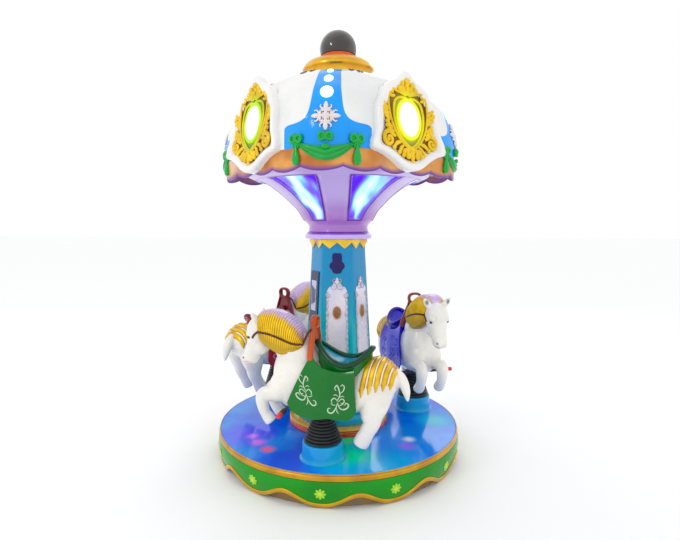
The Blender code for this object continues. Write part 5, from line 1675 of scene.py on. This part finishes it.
def croupPaint():
    finish = Finish("croupPaint", Coat_Weight=0.25, Coat_Roughness=0.06, Specular_IOR_Level=0.3)
    gold, ridge = finish.painted("gold"), finish.painted("ridge")
    broad = finish.noise(22.0, 3.0)
    # the gold strips are painted lighter along their ridges and darker toward their edges, a painted
    # highlight and shade, with random tone from noise
    yellow = finish.mixed((ridge * 0.8 + (broad - 0.5)).clamped(), colour(150, 88, 8), colour(250, 204, 16))
    return finish.set(Base_Color=finish.mixed(gold, colour(240, 232, 214), yellow), Metallic=gold * 0.45,
                      Roughness=0.24 + finish.noise(70.0) * 0.12)


saddle = {
    # the cloth's upper and lower edges, front to rear: x, half width, z
    "top": ((0.050, 0.080, 0.640), (0.012, 0.094, 0.598), (-0.045, 0.102, 0.580), (-0.105, 0.104, 0.577),
            (-0.160, 0.104, 0.590)),
    "low": ((0.160, 0.122, 0.408), (0.110, 0.134, 0.372), (0.035, 0.140, 0.355), (-0.040, 0.134, 0.368),
            (-0.092, 0.132, 0.360), (-0.140, 0.130, 0.366), (-0.176, 0.124, 0.398)),
    "thickness": 0.006, "swell": 0.022, "fold": 0.006,
    "rim": (0.0150, 0.0125),
    "middle": -0.096, "halfLength": 0.128, "halfWidth": 0.090,
    "flank": 0.568, "pommel": 0.122, "cantle": 0.104,    # height of the rim, and its rises
    "bowl": (-0.092, 0, 0.590), "bowlPower": 1.7,
    # each scroll of a spray: greatest half width, count of points, then x and z about its root
    "scrolls": (
        (0.0030, 26, (-0.004, 0.010), (0.004, 0.035), (-0.006, 0.060), (-0.016, 0.072), (-0.022, 0.060),
         (-0.014, 0.052)),
        (0.0026, 26, (0.002, 0.040), (0.014, 0.052), (0.016, 0.068), (0.006, 0.076), (0.000, 0.068)),
        (0.0026, 26, (0.000, 0.006), (0.014, 0.020), (0.026, 0.014), (0.022, 0.002), (0.012, 0.004)),
        (0.0026, 26, (-0.002, 0.012), (-0.016, 0.022), (-0.026, 0.012), (-0.020, 0.000)),
        (0.0032, 26, (0.000, 0.004), (-0.004, -0.022), (-0.016, -0.040), (-0.032, -0.036), (-0.034, -0.022),
         (-0.024, -0.020)),
        (0.0034, 26, (0.002, 0.000), (0.012, -0.018), (0.026, -0.024), (0.042, -0.016), (0.046, -0.002),
         (0.034, 0.004), (0.030, -0.006)),
        (0.0020, 12, (-0.006, -0.006), (-0.018, -0.006), (-0.028, 0.002)),
        (0.0020, 12, (0.006, -0.008), (0.018, -0.004), (0.026, 0.004)),
        (0.0022, 12, (0.000, -0.020), (0.004, -0.034), (0.012, -0.042)),
        (0.0019, 12, (-0.003, 0.030), (-0.014, 0.036), (-0.022, 0.032)),
        (0.0019, 12, (0.004, 0.026), (0.016, 0.032), (0.024, 0.028)),
    ),
    "sprays": ((0.058, 0.470, 0.30, 1), (-0.090, 0.442, -0.16, -1)),    # root x and z, lean, flip
    "scrollScale": 1.12,
    # each saddle's cloth, rim, seat inside and scrolls; the first seat's teal inside is a painted reflection
    # of the blue lamps, the others are the seat's own colour
    "colours": (((0, 116, 34), (0, 70, 36), (0, 140, 168), (206, 232, 196)),
                ((16, 20, 220), (14, 8, 168), (24, 14, 206), (92, 120, 250)),
                ((176, 8, 44), (128, 4, 44), (150, 8, 60), (226, 150, 160))),
}


def clothPoint(s, v, side=1):
    # s runs front to rear and v from the seat down; the flank swells out and hangs in shallow folds
    top = smoothAt(saddle["top"], s * 4.0)
    low = smoothAt(saddle["low"], s * 6.0)
    x = top[..., 0] + (low[..., 0] - top[..., 0]) * v ** 0.9
    z = top[..., 2] + (low[..., 2] - top[..., 2]) * v
    y = (top[..., 1] + (low[..., 1] - top[..., 1]) * v + saddle["swell"] * np.sin(math.pi * v ** 0.8) * 0.8
         + saddle["fold"] * v ** 1.5 * np.cos(2 * math.pi * (1.9 * s + 0.05)))
    return spots(x, side * y, z)


def clothShape(side):
    s = np.linspace(0, 1, 80)[:, None]
    v = np.linspace(0, 1, 46)
    corner = 0.06 * (smoothStep(0.10, 0.0, s) + smoothStep(0.90, 1.0, s))
    outer = clothPoint(s, v * (1 - corner), side)
    inner = outer - [0, side * saddle["thickness"], 0]
    return surface(np.concatenate([outer, inner[:, ::-1]], 1))


def rimPath():
    # a closed loop that dips along the flanks and rises to the pommel and the cantle
    a = around(160)
    front, rear = (1 + np.cos(a)) / 2, (1 - np.cos(a)) / 2
    x = saddle["middle"] + saddle["halfLength"] * np.cos(a) + 0.006 * front ** 3
    y = saddle["halfWidth"] * np.sin(a) * (1 - 0.35 * front ** 3)
    z = saddle["flank"] + saddle["pommel"] * front ** 2.6 + saddle["cantle"] * rear ** 2.8
    return spots(x, y, z)


def seatShape():
    # a bowl inside the loop of the rim, closed by a skirt that runs down into the back
    rim = rimPath()
    share = np.linspace(0.04, 1.0, 24)[:, None, None]
    centre = np.array(saddle["bowl"])
    bowl = centre + (rim - centre) * share
    bowl[..., 2] = centre[2] + (rim[:, 2] - centre[2]) * share[..., 0] ** saddle["bowlPower"]
    skirt = np.array([rim, raised(rim[:, :2], np.minimum(rim[:, 2], 0.60) - 0.03),
                      (rim - centre) * [0.9, 0.9, 0] + [centre[0], 0, 0.53]])
    outer = np.repeat([0.0, 1.0], [len(bowl), len(skirt)])[:, None]
    return surface(np.concatenate([bowl, skirt]), outer=outer)


def scrollCurves():
    # two upright sprays of scrolls and leaves on each flank, in metres on the cloth
    curves = []
    for cx, cz, lean, flip in saddle["sprays"]:
        for wide, count, *points in saddle["scrolls"]:
            p = np.array(points) * [flip * saddle["scrollScale"], saddle["scrollScale"]]
            line = smoothLine(np.stack([cx + p[:, 0] + lean * p[:, 1], cz + p[:, 1]], -1), count)
            t = np.linspace(0, 1, count)
            curves.append((line, wide * (0.35 + 0.65 * np.sin(math.pi * np.clip(t * 0.9 + 0.08, 0, 1)))))
    return curves


def onClothByMetres(line, side):
    # finds the (s, v) whose cloth point has the wanted x and z, by a dense table of the cloth
    s, v = np.meshgrid(np.linspace(0, 1, 90), np.linspace(0.02, 0.98, 90), indexing="ij")
    table = clothPoint(s, v, side).reshape(-1, 3)
    away = (table[:, 0] - line[:, :1]) ** 2 + (table[:, 2] - line[:, 1:]) ** 2
    nearest = table[away.argmin(1)]
    return spots(line[:, 0], nearest[:, 1] + side * 0.0012, line[:, 1])


def scrollShapes():
    # each curve as a flat cord on both flanks
    shapes = []
    for line, radius in scrollCurves():
        for side in (1, -1):
            path = onClothByMetres(line, side)
            shapes.append(tube(path, spots(radius, 0.0012), 6, up=(0, side, 0)))
    return shapes


handle = {
    "colours": ((206, 84, 22), (150, 62, 40), (132, 24, 36)),
    "x": 0.055, "ringZ": 0.783, "ringHalf": (0.036, 0.026), "strap": 0.0080, "depth": 0.0150,
    "leg": ((0.033, 0.770), (0.034, 0.752), (0.046, 0.722), (0.062, 0.684), (0.078, 0.640), (0.081, 0.618)),
}


def handleShapes():
    # a flat loop, two legs that splay down to the saddle, and a web between them
    a = around(64)
    ringY, ringZ = handle["ringHalf"]
    across, rise = (np.sign(q) * np.abs(q) ** 0.8 for q in (np.cos(a), np.sin(a)))    # a superellipse
    strap, deep = handle["strap"], handle["depth"]
    ring = spots(handle["x"], ringY * across, handle["ringZ"] + ringZ * rise)
    shapes = [tube(ring, [(strap, deep)], 12, up=(1, 0, 0), closed=True)]
    for side in (1, -1):
        leg = smoothLine(handle["leg"], 30)
        path = spots(handle["x"], side * leg[:, 0], leg[:, 1])
        shapes.append(tube(path, spots(strap * np.linspace(1, 1.5, 30), deep), 12, up=(1, 0, 0)))
        shapes.append(ellipsoid(handle["x"], side * 0.080, 0.622, 0.011, 0.013, 0.013))
    web = np.array([(-0.034, 0.752), (-0.062, 0.690), (-0.060, 0.680), (0.060, 0.680), (0.062, 0.690),
                    (0.034, 0.752), (0.0, 0.757)])
    slab = plate(smoothLine(web, 80, True), 0.011, rings=6)
    shapes.append(moved(slab, [[0, 0, 1], [1, 0, 0], [0, 1, 0]], (handle["x"], 0, 0)))
    return shapes


footrest = {"x": 0.176, "z": 0.373, "half": 0.187, "radius": 0.0085, "grip": (0.100, 0.156), "cap": 0.0115}


def footrestShape():
    # a rod across the horse with a ribbed grip and a capped end on each side
    start, end = footrest["grip"]
    y = np.concatenate([np.linspace(0, start, 12), np.linspace(start + 0.001, end, 90),
                        np.linspace(end + 0.001, footrest["half"], 16)])
    cap = y >= end
    ribs = 0.0112 + 0.0013 * np.abs(np.sin((y - start) * math.pi / 0.0065))
    r = np.where((y > start) & (y < end), ribs, footrest["radius"])
    r = np.where(cap, footrest["cap"] * np.sqrt(np.clip(1 - np.clip((y - 0.181) / 0.0062, 0, 1) ** 2, 0.02,
                                                        1)), r)
    y, r, cap = np.concatenate([-y[:0:-1], y]), np.concatenate([r[:0:-1], r]), np.concatenate([cap[:0:-1],
            cap])
    a = around(28)
    r, y, cap = r[:, None], y[:, None], cap[:, None]
    return surface(spots(footrest["x"] + r * np.cos(a), y, footrest["z"] + r * np.sin(a)),
                   red=cap.astype(float))


rein = {
    # share of the mane from front to rear, share of the way down its flank
    "track": ((0.035, 0.93), (0.12, 0.88), (0.30, 0.80), (0.50, 0.76), (0.70, 0.78), (0.84, 0.72),
              (0.93, 0.50)),
    "cheek": ((0.352, 0.062, 0.700), (0.342, 0.066, 0.716)),
    "grip": ((0.072, 0.050, 0.742), (0.058, 0.044, 0.754)),
    "section": (0.0052, 0.0032), "proud": 0.004,
}


def reinShapes():
    # from the cheek back over the mane's lower edge, up behind it and across to the handle
    shapes = []
    for side in (1, -1):
        track = smoothLine(rein["track"], 60)
        onMane = manePoint(track[:, 0], track[:, 1] * side) + [0, side * rein["proud"], 0]
        start, end = (np.array(rein[key]) * [1, side, 1] for key in ("cheek", "grip"))
        path = smoothLine(np.vstack([start, onMane[2::4], end]), 150)
        shapes.append(tube(path, [rein["section"]], 10, up=(0, side, 0)))
    return shapes


def eyeShapes():
    # two flat ellipsoids sunk into the sockets
    x, y, z = horse["eye"]
    return [ellipsoid(x, s * (y - 0.003), z, 0.0100, 0.0066, 0.0068, 14, 20) for s in (1, -1)]


def pedestalShape(k):
    # a drum whose wall sweeps outward to the deck by a high power of the way down
    r, top, floor = pedestal["radius"], pedestal["top"], deckTop
    t = np.linspace(0, 1, 16)
    flareOut = [(r + 0.004 * q + 0.011 * q ** 9, floor + 0.0004 + (top - 0.006 - floor) * (1 - q) ** 1.3)
                for q in t]
    line = [(0.002, top), (r - 0.012, top), (r - 0.005, top - 0.001),
            (r - 0.001, top - 0.0035)] + flareOut + [(0.002, floor + 0.0004)]
    x, y = pedestalSpot(k)[:2]
    return turned(line, 120, place=(x, y))


def bellowsShape(k):
    # radius falls along the height; each rib is a rounded ridge with a narrow groove between
    low, top = pedestal["bellowsLow"], pedestal["bellowsTop"] + horse["lift"][k]
    t = np.linspace(0, 1, pedestal["ribs"] * 12 + 1)
    ridge = np.abs(np.sin(math.pi * pedestal["ribs"] * t)) ** 0.55
    radius = (pedestal["lowRadius"] + (pedestal["topRadius"] - pedestal["lowRadius"]) * t ** 0.92
              - pedestal["ribDepth"] * (1 - ridge) * (1 - 0.35 * t))
    line = [(0.002, low + 0.0002)] + list(zip(radius, low + (top - low) * t)) + [(0.002, top)]
    x, y = pedestalSpot(k)[:2]
    return turned(line, 90, place=(x, y), groove=np.concatenate([[0], 1 - ridge, [0]])[:, None])


def saddleGloss(name, paint, share):
    return gelCoat(name, colour(*paint), darker(paint, share), 0.2, 0.3)


def makeHorses():
    body = makeHorseBody()
    coat = horseGloss()
    gold, strips = maneGold(), croupPaint()
    hair, rump = maneShape(), croupShape()
    eyeDark = Finish("eyeDark", Coat_Weight=1.0, Coat_Roughness=0.02)
    eyeDark.set(Base_Color=eyeDark.mixed(eyeDark.noise(120.0), colour(22, 18, 20), colour(58, 50, 56)),
                Roughness=0.12)
    leather = gelCoat("reinLeather", colour(96, 44, 18), colour(60, 26, 12), 0.35, 0.3)
    rubber = Finish("bellowsRubber", Specular_IOR_Level=0.4)
    dust = rubber.cloud(24.0, 0.45, 0.75, 5.0)
    # painted shade: the rubber darker in the grooves between its ribs, and darker in clouds of dust
    rubber.set(Base_Color=rubber.mixed((rubber.painted("groove") * 0.7 + dust * 0.3).clamped(),
                                       colour(30, 34, 34), colour(8, 10, 12)),
               Roughness=0.34 + dust * 0.2, Normal=rubber.bump(rubber.noise(90.0), 0.2, 0.0004))
    peg = Finish("footrestPaint", Coat_Weight=0.3)
    peg.set(Base_Color=peg.mixed(peg.painted("red"), colour(24, 22, 26), colour(222, 28, 22)),
            Roughness=0.35 + peg.noise(60.0) * 0.15)
    stand = Finish("pedestalBlue", Coat_Weight=0.3, Coat_Roughness=0.03, Specular_IOR_Level=0.25)
    stand.set(Base_Color=stand.mixed(stand.cloud(5.0, 0.35, 0.7), colour(0, 150, 226), colour(0, 172, 214)),
              Roughness=0.14 + stand.noise(40.0) * 0.08)
    seat, scrolls, grips, reins = seatShape(), scrollShapes(), handleShapes(), reinShapes()
    rod, eyes, cloth = footrestShape(), eyeShapes(), [clothShape(1), clothShape(-1)]
    rim = tube(rimPath(), [saddle["rim"]], 16, closed=True)
    for k in range(3):
        n = k + 1
        rides = f"horse_{n}"
        main, deep, inside, thread = saddle["colours"][k]

        def add(name, shapes, finish, replaces=(), sharp=40.0):
            shapes = shapes if isinstance(shapes, list) else [shapes]
            piece(name, [placed(shape, k) for shape in shapes], finish, rides, replaces, sharp)

        add(f"horse_{n}_body", body, coat, (f"horse_{n}",), 80.0)
        add(f"horse_{n}_mane", hair, gold, (), 80.0)
        add(f"horse_{n}_croup", rump, strips, (), 60.0)
        add(f"horse_{n}_eyes", eyes, eyeDark.material)
        add(f"horse_{n}_reins", reins, leather)
        add(f"saddle_{n}_cloth", cloth, saddleGloss(f"clothGloss{n}", main, 0.8), (f"saddle_{n}",))
        add(f"saddle_{n}_rim", rim, saddleGloss(f"rimGloss{n}", deep, 0.7))
        bowl = Finish(f"seatGloss{n}", Coat_Weight=0.5, Coat_Roughness=0.04, Specular_IOR_Level=0.25)
        # the seat inside's colour; on the first saddle it is a painted reflection of the blue lamps
        pooled = bowl.mixed(bowl.cloud(9.0, 0.45, 0.62, 2.0), colour(*inside), darker(inside, 0.75))
        bowl.set(Base_Color=bowl.mixed(bowl.painted("outer"), pooled, colour(*main)),
                 Roughness=0.18 + bowl.noise(40.0) * 0.08)
        add(f"saddle_{n}_seat", seat, bowl.material)
        silver = Finish(f"scrollPaint{n}", Coat_Weight=0.4)
        silver.set(Base_Color=silver.mixed(silver.noise(60.0), colour(*thread), darker(thread, 0.85)),
                   Roughness=0.35)
        add(f"saddle_{n}_scrolls", scrolls, silver.material)
        tone = handle["colours"][k]
        add(f"handle_{n}_loop", grips, gelCoat(f"handlePaint{n}", colour(*tone), darker(tone, 0.7), 0.28,
                                               0.4),
            (f"handle_{n}",))
        add(f"footrest_{n}", rod, peg.material, (f"footpeg_{n}",), 30.0)
        piece(f"pedestal_{n}_round", pedestalShape(k), stand.material, "turntable", (f"pedestal_{n}",),
              60.0)
        sleeve = piece(f"bellows_{n}_sleeve", bellowsShape(k), rubber.material, None, (f"bellows_{n}",),
                       80.0)
        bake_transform(sleeve)


makeHorses()
print("horses are made")
